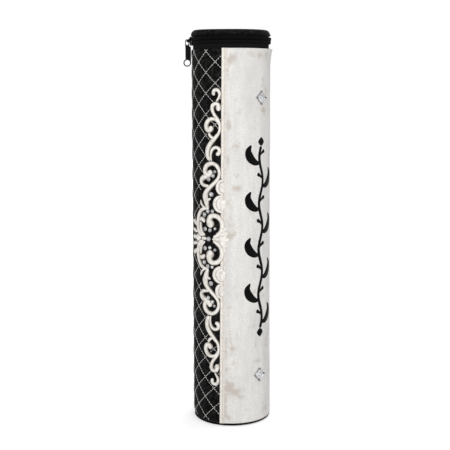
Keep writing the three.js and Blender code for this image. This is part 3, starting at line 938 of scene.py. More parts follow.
def quilt_arc(away):
    """Arc of a place on the quilt, from its distance away from the left hem, and back."""
    return -HEM_ARC - HEM_GAP - away


def lattice_places(length, first, spacing):
    """Places along a length that include every stitched crossing and both ends."""
    small = spacing / 2 / sizes().quilt_steps
    places = [first % small + small * i for i in range(int(length / small) + 2)]
    return [0.0, *(place for place in places if small / 3 < place < length - small / 3), length]


def make_quilt():
    aways = lattice_places(QUILT_AROUND, CROSSING_FROM_HEM, sizes().diamond_width)
    rises = lattice_places(QUILT_HIGH - QUILT_LOW, CROSSING_HEIGHT - QUILT_LOW, sizes().diamond_height)
    arcs = [quilt_arc(away) for away in aways]
    heights = [QUILT_LOW + rise for rise in rises]
    cover = draped_grid(
        "quilted_cover_padded", arcs, heights, lambda arc, height: quilt_radius(quilt_arc(arc), height)
    )
    thicken(cover, QUILT_RADIUS - COVER_INNER - sizes().quilt_puff, QUILT_CORNER)
    dress(cover, "leatherette", "leatherette", "case_body", "quilted_cover")


def is_quilted(away, height):
    """Whether a quilting stitch shows at a place."""
    if not QUILTING_MARGIN < away < QUILT_AROUND - QUILTING_MARGIN:
        return False
    if not QUILT_LOW + QUILTING_MARGIN < height < QUILT_HIGH - QUILTING_MARGIN:
        return False
    from_hem = min(away, QUILT_AROUND - away) / PAPER
    from_middle = abs(height - ORNAMENT_MIDDLE) / PAPER
    return not any(from_middle < high and from_hem < out for high, out in ORNAMENT_CLEAR_SHARES)


def make_quilting():
    """White stitches along both sets of slanting lines."""
    width = sizes().diamond_width
    height = sizes().diamond_height
    per_side = sizes().stitches_per_side
    pitch = math.hypot(width, height) / 2 / per_side
    rows = int(QUILT_HIGH / height) + int(QUILT_AROUND / width) + 3
    placings = []
    for slope in (1, -1):
        lean = math.atan2(slope * height, -width)
        for line in range(-rows, rows):
            for step in range(-2 * rows * per_side, 2 * rows * per_side):
                along = (step + 0.5) / per_side / 2
                away = CROSSING_FROM_HEM + width * (line + along)
                up = CROSSING_HEIGHT + slope * height * along
                if is_quilted(away, up):
                    arc = quilt_arc(away)
                    radius = quilt_radius(away, up) + QUILTING_LIFT
                    placings.append((axes_at(turn_at(arc, up), lean), on_case(arc, up, radius)))
    thread = sizes().stitch_width
    halves = (pitch * QUILTING_LENGTH_SHARE, thread / 2, thread * QUILTING_HEIGHT_SHARE)
    seam("quilting_stitches", halves, placings, "quilting_thread", "cream_thread", "case_body")


# Front panel and hems

PANEL_UNDER_HEM = 0.3 * MM
PANEL_EDGE_ARC = PANEL_ARC + PANEL_UNDER_HEM
PANEL_RIPPLE = 0.05 * MM
PANEL_RIPPLE_UNIT = 1.0 * MM
PANEL_RIPPLE_SHARES = ((31, 13), (17, -19))  # wave lengths over 2 pi, up and across, in units
PANEL_FLARE = 2.1 * MM  # of its top edge
PANEL_FLARE_REACH = 17 * MM
PANEL_FLARE_ARC = 26 * MM
PANEL_FLARE_WIDTH = 12 * MM
PANEL_BACK_GAP = 0.2 * MM
PANEL_WALL = PANEL_RADIUS - COVER_INNER - PANEL_BACK_GAP
PANEL_CORNER = 0.4 * MM
PANEL_COLUMNS = 69
PANEL_ROWS = 161
# Worn patches of the panel: across from its left edge, up from its foot, half
# width and half height, as shares of the panel's width and height, and how strong
PANEL_PATCH_SHARES = [
    (0.062, 0.972, 0.085, 0.018, 1.05), (0.0, 0.95, 0.05, 0.03, 0.8), (0.3, 0.985, 0.12, 0.008, 0.6),
    (0.487, 0.98, 0.11, 0.014, 1.0), (0.61, 0.984, 0.07, 0.014, 0.9), (0.124, 0.866, 0.045, 0.008, 0.8),
    (0.151, 0.833, 0.055, 0.013, 0.8), (0.03, 0.8, 0.04, 0.022, 0.7), (0.52, 0.915, 0.07, 0.022, 0.6),
    (0.6, 0.89, 0.05, 0.02, 0.6), (0.53, 0.838, 0.09, 0.016, 0.8), (0.39, 0.79, 0.05, 0.01, 0.5),
    (0.138, 0.748, 0.075, 0.01, 1.0), (0.03, 0.712, 0.035, 0.03, 0.7), (0.138, 0.668, 0.07, 0.008, 0.8),
    (0.138, 0.635, 0.075, 0.011, 1.1), (0.04, 0.6, 0.05, 0.03, 0.6), (0.07, 0.545, 0.06, 0.02, 0.7),
    (0.08, 0.515, 0.09, 0.016, 1.0), (0.02, 0.42, 0.03, 0.05, 0.5), (0.04, 0.3, 0.03, 0.06, 0.6),
    (0.09, 0.206, 0.06, 0.022, 0.95), (0.14, 0.17, 0.07, 0.009, 0.7), (0.05, 0.25, 0.03, 0.02, 0.6),
    (0.045, 0.1, 0.1, 0.022, 1.25), (0.13, 0.086, 0.11, 0.014, 1.25), (0.2, 0.074, 0.07, 0.009, 1.15),
    (0.0, 0.05, 0.07, 0.05, 1.05), (0.0, 0.2, 0.05, 0.05, 0.9), (0.02, 0.145, 0.03, 0.02, 0.8),
    (0.05, 0.014, 0.06, 0.015, 0.9), (0.07, 0.135, 0.035, 0.018, 0.7), (0.45, 0.165, 0.13, 0.01, 0.5),
    (0.62, 0.03, 0.06, 0.02, 0.6), (0.66, 0.22, 0.06, 0.05, 0.6), (0.33, 0.04, 0.1, 0.01, 0.5),
    (0.7, 0.62, 0.05, 0.04, 0.5), (0.26, 0.45, 0.03, 0.03, 0.4), (0.3, 0.7, 0.06, 0.012, 0.4),
]
# Each patch comes once more on the panel's other side, fainter and moved up
PATCH_TWIN_SHARE = 0.65
PATCH_TWIN_RISE_SHARE = 0.37

HEM_WIDTH = HEM_ARC - PANEL_ARC
HEM_CROWN = 0.15 * MM
HEM_SINK = 0.25 * MM
HEM_SLOPE = HEM_RADIUS - PANEL_RADIUS + HEM_SINK
HEM_ROLL = 1.0 * MM
HEM_ROLL_REACH = 1.2 * MM
HEM_SEAM_FROM_OUTER = 3.1 * MM
HEM_GROOVE = 0.3 * MM
HEM_GROOVE_WIDTH = 0.4 * MM
HEM_PUCKER = 0.06 * MM
HEM_BACK_GAP = 0.8 * MM
HEM_WALL = PANEL_RADIUS - COVER_INNER - HEM_BACK_GAP
HEM_CORNER = 0.15 * MM
HEM_ROWS = 361
# Columns of the hem, from its outer to its inner edge
HEM_COLUMN_SHARES = (*np.linspace(0, 0.24, 7), *np.linspace(0.28, 1, 16))
HEM_STITCH = 3.3 * MM
HEM_THREAD_HALF_WIDTH = 0.26 * MM
HEM_THREAD_HALF_HEIGHT = 0.22 * MM
HEM_STITCH_SHARE = 0.43
HEM_STITCH_HALVES = (HEM_STITCH * HEM_STITCH_SHARE, HEM_THREAD_HALF_WIDTH, HEM_THREAD_HALF_HEIGHT)
HEM_STITCH_LIFT = 0.14 * MM


def worn_at(arc, height):
    """How worn the panel is at a place, from the listed patches."""
    across = (arc + PANEL_ARC) / (2 * PANEL_ARC)
    up = (height - PANEL_LOW) / (PANEL_HIGH - PANEL_LOW)
    worn = 0.0
    for x, y, wide, tall, strength in PANEL_PATCH_SHARES:
        twin = (1 - x, (y + PATCH_TWIN_RISE_SHARE) % 1, PATCH_TWIN_SHARE)
        for patch_x, patch_y, share in ((x, y, 1.0), twin):
            worn = max(worn, share * strength * bell(across - patch_x, wide) * bell(up - patch_y, tall))
    return worn


def panel_radius(arc, height):
    """Radius of the panel: gently uneven, and flared at its top edge."""
    ripple = 0.0
    for up, across in PANEL_RIPPLE_SHARES:
        ripple += math.sin((height / up + arc / across) / PANEL_RIPPLE_UNIT)
    from_top = max(0.0, 1 - (PANEL_HIGH - height) / PANEL_FLARE_REACH)
    flare = PANEL_FLARE * bell(arc - PANEL_FLARE_ARC, PANEL_FLARE_WIDTH) * from_top**1.8
    return PANEL_RADIUS + PANEL_RIPPLE * ripple + flare


def make_panel():
    arcs = np.linspace(-PANEL_EDGE_ARC, PANEL_EDGE_ARC, PANEL_COLUMNS)
    heights = np.linspace(PANEL_LOW, PANEL_HIGH, PANEL_ROWS)
    panel = draped_grid("front_panel_sheet", arcs, heights, panel_radius)
    thicken(panel, PANEL_WALL, PANEL_CORNER)
    store_places(panel, "worn", worn_at)
    dress(panel, "ivory_leatherette", "ivory_leatherette", "case_body", "title_panel")


def hem_radius(from_outer, height):
    """Rolled hem: rounded at its outer edge, drawn in along its seam, level with the panel inside."""
    slope = HEM_SLOPE * (from_outer / HEM_WIDTH) ** 2
    roll = max(0.0, 1 - from_outer / HEM_ROLL_REACH)
    groove = HEM_GROOVE * bell(from_outer - HEM_SEAM_FROM_OUTER, HEM_GROOVE_WIDTH)
    pucker = HEM_PUCKER * math.sin(height / HEM_STITCH * 2 * math.pi) * (1 - roll)
    return HEM_RADIUS + HEM_CROWN - slope - HEM_ROLL * roll**2.2 - groove + pucker


def make_hem(side, name):
    heights = np.linspace(PANEL_LOW, PANEL_HIGH, HEM_ROWS)
    arcs = [side * (HEM_ARC - share * HEM_WIDTH) for share in HEM_COLUMN_SHARES]

    def radius(arc, height):
        flare = panel_radius(side * PANEL_ARC, height) - panel_radius(side * PANEL_ARC, PANEL_LOW)
        return hem_radius(HEM_ARC - abs(arc), height) + flare

    hem = draped_grid(f"rolled_hem_{name}", arcs, heights, radius)
    thicken(hem, HEM_WALL, HEM_CORNER)
    store_places(hem, "across_hem", lambda arc, height: (HEM_ARC - abs(arc)) / HEM_WIDTH)
    dress(hem, "cream_hem", "cream_hem", "case_body", f"panel_hem_{name}")


def make_hem_stitches():
    placings = []
    for side in (-1, 1):
        for number in range(int((PANEL_HIGH - PANEL_LOW) / HEM_STITCH) - 1):
            height = PANEL_LOW + HEM_STITCH * (number + 1)
            arc = side * (HEM_ARC - HEM_SEAM_FROM_OUTER)
            radius = hem_radius(HEM_SEAM_FROM_OUTER, height) + HEM_STITCH_LIFT
            placings.append((axes_at(turn_at(arc, height), math.pi / 2), on_case(arc, height, radius)))
    seam("hem_stitches", HEM_STITCH_HALVES, placings, "hem_thread", "cream_hem", "case_body", 8)


# Scroll embroidery
# Strokes of the ornament's upper half, drawn on squared paper from the middle of the left hem's
# outer edge: squares away from the panel, squares up, and the stroke's width there

SCROLL_STROKE_SHARES = {
    "top_curl": [
        (7.0, 138.3, 3.8), (7.9, 141.2, 3.8), (6.3, 143.5, 3.6), (3.4, 143.2, 3.4),
        (1.7, 140.6, 3.0), (1.9, 137.4, 2.6), (3.4, 134.8, 2.0), (5.2, 132.4, 1.3),
    ],
    "second_curl": [
        (3.1, 123.6, 5.2), (2.7, 126.6, 5.2), (3.4, 129.6, 4.0), (6.0, 130.5, 3.6),
        (8.6, 128.8, 4.0), (9.1, 125.6, 3.8), (8.0, 122.2, 3.4), (6.2, 119.2, 3.4),
        (4.1, 116.6, 3.2), (2.1, 113.4, 3.0), (1.2, 109.6, 2.8), (1.3, 105.8, 2.8), (2.4, 102.4, 3.0),
        (4.4, 99.8, 3.6), (7.4, 96.4, 4.2), (10.8, 92.6, 4.6), (13.4, 88.4, 5.2), (14.3, 84.0, 5.2),
        (13.6, 79.8, 4.6), (11.6, 76.2, 3.2),
    ],
    "upper_volute": [
        (1.6, 110.4, 2.4), (3.6, 113.8, 2.6), (6.8, 115.8, 3.0), (10.6, 115.9, 3.8), (14.0, 113.8, 4.6),
        (15.8, 110.2, 5.0), (15.2, 106.8, 5.2), (12.9, 105.4, 5.4),
        (10.7, 106.8, 6.2), (10.4, 109.4, 6.2),
    ],
    "upper_hook": [(12.6, 102.8, 2.4), (11.7, 100.4, 3.0), (9.8, 98.6, 3.0), (7.4, 97.6, 2.4)],
    "side_curl": [
        (9.6, 75.6, 1.6), (10.4, 79.4, 2.0), (10.2, 83.4, 2.4), (8.9, 86.6, 3.0), (6.4, 88.6, 3.2),
        (3.5, 88.6, 3.2), (1.5, 86.8, 3.4), (1.7, 84.2, 4.2), (3.2, 82.9, 4.6), (4.9, 83.6, 4.2),
    ],
    "lower_volute": [
        (1.6, 60.4, 2.8), (1.4, 65.4, 3.2), (3.4, 70.4, 3.6), (7.4, 73.2, 3.8),
        (11.8, 73.0, 4.4), (15.6, 70.6, 5.0), (17.3, 66.8, 5.4), (16.2, 63.4, 5.4),
        (13.4, 62.6, 6.0), (11.3, 64.4, 6.4), (10.9, 67.2, 6.4),
    ],
    "lobe": [
        (13.8, 60.2, 3.0), (18.2, 59.8, 5.2), (21.6, 57.8, 5.2), (22.2, 54.9, 4.4),
        (20.0, 52.6, 3.8), (16.4, 51.6, 3.2), (12.2, 51.6, 2.4),
    ],
    "main_stem": [
        (1.4, 66.0, 2.6), (2.0, 60.6, 3.2), (4.6, 56.6, 3.6), (8.4, 53.0, 3.8),
        (12.6, 49.2, 4.4), (16.0, 45.0, 5.4), (17.4, 40.8, 5.8), (16.2, 36.6, 4.8),
        (14.8, 33.0, 4.2), (12.8, 30.0, 3.0),
    ],
    "leaf": [
        (23.4, 37.6, 0.8), (22.5, 34.6, 2.2), (20.9, 32.4, 2.4), (18.6, 30.8, 2.2), (15.8, 30.2, 1.6),
    ],
    "inner_leaf": [(14.6, 36.4, 1.6), (12.8, 38.4, 2.8), (10.2, 39.4, 1.6)],
    "inner_stem": [
        (11.4, 50.6, 1.2), (13.6, 46.2, 1.8), (14.8, 41.6, 2.2), (14.2, 37.0, 2.4), (13.4, 32.8, 2.2),
    ],
    "upper_scallop": [
        (-3.0, 57.4, 1.6), (0.8, 56.2, 3.2), (2.9, 52.6, 3.8), (3.0, 48.6, 3.8),
        (0.9, 45.2, 3.2), (-2.8, 43.8, 1.6),
    ],
    "upper_scallop_heart": [(-3.2, 55.0, 3.0), (-0.9, 51.8, 5.4), (-1.1, 48.4, 5.2), (-3.6, 45.8, 3.0)],
    "lower_scallop": [
        (-3.4, 42.6, 1.6), (1.6, 41.4, 3.2), (5.0, 38.4, 3.8), (6.1, 34.4, 4.0),
        (4.6, 30.2, 3.8), (1.2, 27.6, 3.2), (-3.0, 26.6, 1.6),
    ],
    "lower_scallop_heart": [
        (-2.6, 40.2, 3.0), (1.2, 38.0, 5.0), (2.3, 34.4, 5.6), (0.9, 30.8, 5.0), (-3.0, 28.8, 3.0),
    ],
    "lower_scallop_petal": [(-4.4, 39.0, 3.4), (-2.4, 34.6, 5.6), (-4.4, 30.4, 3.4)],
    "medallion": [
        (10.5, 11.0, 8.8), (10.9, 14.6, 8.8), (11.8, 18.6, 6.8), (10.3, 21.9, 5.4), (6.4, 23.0, 4.8),
        (1.9, 21.5, 4.8), (-1.1, 17.4, 4.6), (-1.7, 12.6, 4.4), (-0.5, 8.0, 4.2), (2.8, 4.2, 3.8),
        (7.6, 1.4, 2.6),
    ],
    "outer_band": [
        (12.4, 29.6, 2.2), (17.2, 29.4, 3.2), (21.8, 27.6, 4.0), (25.0, 24.2, 4.6),
        (27.0, 19.4, 5.4), (27.6, 14.0, 6.0), (26.6, 8.8, 6.0), (23.8, 4.6, 5.0), (19.6, 2.4, 3.0),
    ],
    "inner_lobe": [(24.8, 17.4, 3.0), (22.0, 18.8, 4.4), (19.4, 18.0, 4.4), (17.4, 16.0, 3.0)],
    "inner_band": [(23.4, 16.0, 2.4), (22.8, 10.6, 3.6), (21.0, 6.0, 3.4), (17.2, 3.0, 2.4)],
    "outer_lobe": [
        (39.2, 15.6, 1.4), (37.0, 15.4, 3.4), (34.0, 14.8, 5.0), (31.0, 13.4, 4.2), (28.0, 11.6, 2.8),
    ],
    "low_outer_lobe": [(40.0, 7.4, 1.2), (36.8, 7.0, 3.2), (33.4, 6.4, 3.8), (28.6, 5.4, 2.6)],
    "shell_petal": [(7.4, 1.8, 1.8), (2.6, 3.6, 3.6), (-2.6, 5.0, 4.0), (-7.8, 6.6, 2.0)],
    "shell_outer_petal": [(5.0, 4.4, 1.4), (0.8, 6.8, 3.2), (-2.8, 9.2, 3.4), (-5.8, 11.8, 1.8)],
}
MIDDLE_STROKE_SHARES = {
    "tip": [(40.0, 0.0, 1.4), (37.8, 0.0, 3.2), (35.0, 0.0, 4.6), (31.0, 0.0, 3.4)],
    "side_boss": [(32.0, 0.0, 5.6), (27.8, 0.0, 8.4), (22.8, 0.0, 5.6)],
    "bridge": [(22.0, 0.0, 3.0), (18.4, 0.0, 3.6), (15.0, 0.0, 2.4)],
    "shell": [(9.0, 0.0, 2.4), (3.2, 0.0, 3.8), (-3.0, 0.0, 4.4), (-8.8, 0.0, 2.2)],
}
# Padding under the two lobes that lie over the hem, and under the shell, below their rims
LOBE_FILL_SHARES = [
    [(-4.0, 51.0, 9.0), (-0.8, 51.0, 11.0), (1.6, 50.8, 8.0)],
    [(-4.0, 34.6, 11.0), (0.0, 34.6, 14.0), (3.4, 34.4, 9.0)],
    [(3.0, 3.0, 6.0), (-3.4, 4.0, 12.0), (-6.0, 4.0, 10.0)],
]
# Strokes that lie soft and low over the hem and the panel, with less painted edge shade
SOFT_STROKES = ("heart", "petal", "shell")
SOFT_SHARE = 0.4
STROKE_WIDENING_SHARE = 1.1
FILL_RELIEF_SHARE = 0.55
VINE_RELIEF_SHARE = 0.55
STROKE_STEP = 0.9 * MM
STROKE_SIDES = 9
FULL_RELIEF_WIDTH = 8 * MM
# Strokes are sunk to differing depths, so that no two lie level
STROKE_SINK = 0.25 * MM
STROKE_SINK_STEP = 0.013 * MM
STROKE_SINK_RANGE = 0.2 * MM
QUILT_GROUND_LIFT = 0.2 * MM
QUILT_GROUND = QUILT_RADIUS + QUILT_GROUND_LIFT
HEM_GROUND_LIFT = 0.05 * MM
HEM_GROUND = HEM_RADIUS + HEM_GROUND_LIFT
GROUND_STEP_BEFORE = 0.6 * MM
GROUND_STEP_WIDTH = 1.4 * MM
PANEL_FADE_FROM = 8 * MM
PANEL_FADE_WIDTH = 8.6 * MM
PANEL_FADE_SHARE = 0.35


def ground_radius(arc):
    """Radius of what the embroidery lies on: the quilt, or the hem beside it."""
    share = eased((HEM_ARC + GROUND_STEP_BEFORE - abs(arc)) / GROUND_STEP_WIDTH)
    return QUILT_GROUND * (1 - share) + HEM_GROUND * share


def flatness(arc):
    """1 beside the panel, falling smoothly on the panel, where the ornament lies flatter."""
    fade = eased((abs(arc) - HEM_ARC + PANEL_FADE_FROM) / PANEL_FADE_WIDTH)
    return PANEL_FADE_SHARE + (1 - PANEL_FADE_SHARE) * fade


def curve_through(points):
    """Even samples of a smooth curve through the points, with the distance along it."""
    padded = [2 * points[0] - points[1], *points, 2 * points[-1] - points[-2]]
    samples = []
    for before, start, end, after in zip(padded, padded[1:], padded[2:], padded[3:]):
        linear = end - before
        square = 2 * before - 5 * start + 4 * end - after
        cubic = 3 * start - before - 3 * end + after
        count = max(2, int(math.ceil(np.linalg.norm((end - start)[:2]) / STROKE_STEP)))
        for share in np.arange(count) / count:
            samples.append(0.5 * (2 * start + linear * share + square * share**2 + cubic * share**3))
    samples = np.array([*samples, points[-1]])
    gaps = np.linalg.norm(np.diff(samples[:, :2], axis=0), axis=1)
    return samples, np.concatenate(((0.0,), np.cumsum(gaps)))


def directions_of(path):
    """Unit direction at each point of a path."""
    flow = np.gradient(path, axis=0)
    return flow / np.maximum(np.linalg.norm(flow, axis=1, keepdims=True), 1e-12)


def satin_stroke(route, relief, ground, flat_at, sink):
    """Points of one raised satin stroke, as rings on the case, with its stroke coordinates."""
    samples, along = curve_through([np.array(place) for place in route])
    section = np.linspace(0, math.pi, STROKE_SIDES)
    points = []
    uvs = []
    for sample, direction, distance in zip(samples, directions_of(samples[:, :2]), along):
        half = sample[2] / 2
        to_end = min(distance, along[-1] - distance)
        taper = math.sqrt(max(0.02, 1 - max(0.0, 1 - to_end / half) ** 2))
        rise = relief * min(1.0, 0.5 + sample[2] / FULL_RELIEF_WIDTH) * (0.35 + 0.65 * taper)
        side = np.array((-direction[1], direction[0]))
        for turn in section:
            arc, height = sample[:2] + side * half * taper * math.cos(turn)
            lift = flat_at(arc) * rise * math.sin(turn) ** 0.8 if 0 < turn < math.pi else 0.0
            points.append(on_case(arc, height, ground(arc) - sink + lift))
            uvs.append((distance, 0.5 - 0.5 * math.cos(turn)))
    return points, uvs


def embroidery(name, strokes, ground, flat_at):
    """All satin strokes of an ornament as one piece; each is a route, its relief and its share of
    painted edge shade.
    """
    points = []
    faces = []
    uvs = []
    shades = []
    for number, (route, relief, shade) in enumerate(strokes):
        sink = STROKE_SINK - STROKE_SINK_STEP * number % STROKE_SINK_RANGE
        new_points, new_uvs = satin_stroke(route, relief, ground, flat_at, sink)
        new_faces = tube_faces(len(new_points) // STROKE_SIDES, STROKE_SIDES)
        faces += [tuple(len(points) + i for i in face) for face in new_faces]
        # Each point's share of painted edge shade
        shades += [shade * flat_at(place_on_case(Vector(point))[0]) ** 2 for point in new_points]
        points += new_points
        uvs += new_uvs
    piece = mesh_piece(name, points, faces)
    corners = np.empty(len(piece.data.loops), np.int32)
    piece.data.loops.foreach_get("vertex_index", corners)
    layer = piece.data.uv_layers.new(name="Stroke")
    layer.data.foreach_set("uv", np.array(uvs, np.float32)[corners].ravel())
    store(piece, "edge_shade", "POINT", shades)
    with editing(piece):
        bpy.ops.mesh.normals_make_consistent(inside=False)
    smooth(piece, 70)
    return piece


def on_paper(side, away, up):
    """Arc and height of a square of the ornament's paper."""
    return side * (HEM_ARC + away * PAPER), ORNAMENT_MIDDLE + up * PAPER


def make_scroll(side, name):
    relief = sizes().relief
    strokes = []

    def draw(stroke, half, widening, height, shade):
        route = [
            (*on_paper(side, away, half * up), width * widening * PAPER) for away, up, width in stroke
        ]
        strokes.append((route, relief * height, shade))

    for half in (1, -1):
        for fill in LOBE_FILL_SHARES:
            draw(fill, half, 1.0, FILL_RELIEF_SHARE, SOFT_SHARE)
    for table, halves in ((SCROLL_STROKE_SHARES, (1, -1)), (MIDDLE_STROKE_SHARES, (1,))):
        for half in halves:
            for title, stroke in table.items():
                soft = SOFT_SHARE if any(word in title for word in SOFT_STROKES) else 1.0
                draw(stroke, half, STROKE_WIDENING_SHARE, 0.3 + 0.7 * soft, soft)
    scroll = embroidery(f"scroll_embroidery_{name}", strokes, ground_radius, flatness)
    dress(scroll, "cream_thread", "cream_thread", "case_body", f"scroll_{name}")


# Rhinestones and square studs

# Squares away, squares up, and size
RHINESTONE_SHARES = [
    (12.6, 0.0, 1.1), (16.9, 9.5, 1.0), (11.1, 8.6, 0.9), (5.5, 10.4, 0.7),
    (17.9, 23.4, 1.05), (13.6, 27.0, 0.95), (8.4, 27.3, 0.8), (9.6, 43.6, 1.1),
    (12.7, 58.1, 0.95), (7.9, 61.7, 0.95), (5.9, 65.7, 0.7),
]
# Of a rhinestone's width
GEM_TABLE_SHARE = 0.27
GEM_HEIGHT_SHARE = 0.3
GEM_FOOT_SHARE = 0.02
GEM_SPLIT_SHARE = 0.14
CUP_RADIUS_SHARE = 0.46
CUP_WIRE_SHARE = 0.1

# Seeds and ranges of the facets' painted reflections
STONE_SEED = 7
STONE_REFLECTION_TONES = (0.1, 0.78)
STUD_SEED = 21
STUD_REFLECTION_TONES = (0.35, 0.95)

CUP_LIFT = 0.32 * MM
GEM_ABOVE_CUP = 0.15 * MM
GEM_LIFT = CUP_LIFT + GEM_ABOVE_CUP

STUD_ARC = -1.2 * MM  # the studs sit a little left of the panel's middle line
STUD_GAP = 0.15 * MM
STUD_BASE = PANEL_RADIUS + STUD_GAP
STUD_SIDE_SHARE = 0.94
STUD_RIM_HEIGHT = 1.5 * MM
STUD_RIM_WIDTH = 0.55 * MM
STUD_RIM_DEPTH = 0.9 * MM
STUD_RIM_CORNER = 0.22 * MM
STUD_RIM_LIFT = 0.5 * MM
PRONG_RADIUS = 0.85 * MM
PRONG_HEIGHT = 0.75 * MM
PRONG_REACH_SHARE = 0.63
CRYSTAL_FOOT_SHARE = 0.64
CRYSTAL_TABLE_SHARE = 0.34
CRYSTAL_HEIGHT = 1.3 * MM
CRYSTAL_FOOT_BELOW = -0.6 * MM
CRYSTAL_CROWN = 0.95 * MM
CRYSTAL_FALL = 0.75 * MM
CRYSTAL_LIFT = 0.7 * MM


def paint_facet_reflections(piece, seed, low, high):
    """Gives each facet a painted reflection of its own, a random tone, for the light and dark that cut
    glass shows.
    """
    tones = np.random.default_rng(seed).uniform(low, high, len(piece.data.polygons))
    store(piece, "painted_facet_reflection", "FACE", tones)


def make_rhinestones(side, name):
    width = sizes().rhinestone_width
    bpy.ops.mesh.primitive_cone_add(
        vertices=8, radius1=width / 2, radius2=width * GEM_TABLE_SHARE, depth=width * GEM_HEIGHT_SHARE
    )
    gem = take("gem")
    with editing(gem):
        bpy.ops.mesh.subdivide(number_cuts=1)
    for point in gem.data.vertices:
        share = min(1.0, math.hypot(point.co.x, point.co.y) / (width / 2))
        crown = GEM_HEIGHT_SHARE - GEM_TABLE_SHARE * share**2.4
        point.co.z = width * (crown if point.co.z > -width * GEM_SPLIT_SHARE else -GEM_FOOT_SHARE)
    bpy.ops.mesh.primitive_torus_add(
        major_radius=width * CUP_RADIUS_SHARE, minor_radius=width * CUP_WIRE_SHARE,
        major_segments=20, minor_segments=6,
    )
    cup = take("cup")
    places = []
    for away, up, scale in RHINESTONE_SHARES:
        for half in (1, -1) if up else (1,):
            arc, height = on_paper(side, away, half * up)
            places.append((axes_at(turn_at(arc, height)) * scale, arc, height))

    def lifted(lift):
        return [(axes, on_case(arc, height, ground_radius(arc) + lift)) for axes, arc, height in places]

    gems = copies(f"rhinestones_{name}", gem, lifted(GEM_LIFT))
    paint_facet_reflections(gems, STONE_SEED + side, *STONE_REFLECTION_TONES)
    nodes = [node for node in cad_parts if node.startswith(f"rhinestone_{name}_")]
    dress(gems, "crystal", "crystal", "case_body", *nodes)
    cups = copies(f"rhinestone_cups_{name}", cup, lifted(CUP_LIFT))
    smooth(cups, 60)
    dress(cups, "soft_silver", "silver_metal", "case_body")


def stud_rim(name, side):
    """Square setting with a sunk floor."""
    rim = cube(f"stud_rim_{name}_cast", side, side, STUD_RIM_HEIGHT)
    with editing(rim, "DESELECT"):
        bpy.ops.mesh.select_mode(type="FACE")
    for polygon in rim.data.polygons:
        polygon.select = polygon.normal.z > 0.5
    bpy.ops.object.mode_set(mode="EDIT")
    bpy.ops.mesh.inset(thickness=STUD_RIM_WIDTH)
    bpy.ops.transform.translate(value=(0, 0, -STUD_RIM_DEPTH))
    bpy.ops.object.mode_set(mode="OBJECT")
    bevel(rim, STUD_RIM_CORNER)
    return rim


def stud_prongs(name, side):
    prongs = []
    for corner in range(4):
        turn = math.pi / 4 + corner * math.pi / 2
        reach = side * PRONG_REACH_SHARE
        place = (reach * math.cos(turn), reach * math.sin(turn), PRONG_HEIGHT)
        bpy.ops.mesh.primitive_uv_sphere_add(
            segments=12, ring_count=8, radius=PRONG_RADIUS, location=place
        )
        prongs.append(take("prong"))
        settle(prongs[-1])
    return join_pieces(f"stud_prongs_{name}", prongs)


def stud_crystal(name, side):
    """Square stone with a domed, faceted top."""
    bpy.ops.mesh.primitive_cone_add(
        vertices=4, radius1=side * CRYSTAL_FOOT_SHARE, radius2=side * CRYSTAL_TABLE_SHARE,
        depth=CRYSTAL_HEIGHT, rotation=(0, 0, math.pi / 4),
    )
    crystal = take(f"stud_crystal_{name}_cut")
    settle(crystal)
    with editing(crystal):
        bpy.ops.mesh.subdivide(number_cuts=2)
    for point in crystal.data.vertices:
        share = max(abs(point.co.x), abs(point.co.y)) / (side / 2)
        if point.co.z > CRYSTAL_FOOT_BELOW:
            point.co.z = CRYSTAL_CROWN - CRYSTAL_FALL * share**2
    with editing(crystal):
        bpy.ops.mesh.quads_convert_to_tris()
    paint_facet_reflections(crystal, STUD_SEED + len(name), *STUD_REFLECTION_TONES)
    return crystal


def make_stud(name):
    low, high = heights_of(f"stud_rim_{name}")
    height = (low + high) / 2
    side = (high - low) / math.sqrt(2) * STUD_SIDE_SHARE
    axes = axes_at(turn_at(STUD_ARC, height), math.pi / 4)
    rim = stud_rim(name, side)
    prongs = stud_prongs(name, side)
    crystal = stud_crystal(name, side)
    for piece, lift in ((rim, STUD_RIM_LIFT), (prongs, STUD_RIM_LIFT), (crystal, CRYSTAL_LIFT)):
        place_local(piece, axes, on_case(STUD_ARC, height, STUD_BASE + lift))
    smooth(rim)
    smooth(prongs)
    dress(rim, "soft_silver", "silver_metal", "case_body", f"stud_rim_{name}")
    dress(prongs, "dark_silver", "silver_metal", "case_body")
    dress(crystal, "crystal", "crystal", "case_body", f"stud_crystal_{name}")


# Vine on the panel
# Leaf, tendril and bud, from the stem outwards: shares of the vine's half height across, up, wide

VINE_MIDDLE = (VINE_LOW + VINE_HIGH) / 2
VINE_HALF = (VINE_HIGH - VINE_LOW) / 2
VINE_LEAF_SHARES = [
    (0.0, 0.0, 0.02), (0.062, 0.012, 0.064), (0.118, 0.058, 0.086), (0.138, 0.122, 0.066),
    (0.108, 0.182, 0.012),
]
VINE_TENDRIL_SHARES = [(0.0, 0.0, 0.016), (0.036, 0.034, 0.026), (0.078, 0.058, 0.05)]
VINE_BUD_SHARES = [(0.0, 0.0, 0.04), (0.0, 0.04, 0.09), (0.0, 0.086, 0.02)]
VINE_LEAVES = 8
VINE_STEM_STEPS = 32
VINE_STEM_SHARE = 0.9
VINE_SWAY_SHARE = 0.026
VINE_STEM_WIDTH_SHARE = 0.038
VINE_LEAF_ROOT_SHARE = 0.25
VINE_TENDRIL_ROOT_SHARE = 0.55


def vine_stem(share):
    """Arc and height of a place on the stem, from its foot to its top."""
    sway = VINE_SWAY_SHARE * VINE_HALF * math.sin(share * math.pi * VINE_LEAVES)
    return sway, VINE_MIDDLE + VINE_STEM_SHARE * VINE_HALF * (2 * share - 1)


def grow(shares, share, side, direction=1):
    """A leaf, tendril or bud at a place on the stem."""
    arc, height = vine_stem(share)
    return [
        (arc + side * x * VINE_HALF, height + direction * y * VINE_HALF, width * VINE_HALF)
        for x, y, width in shares
    ]


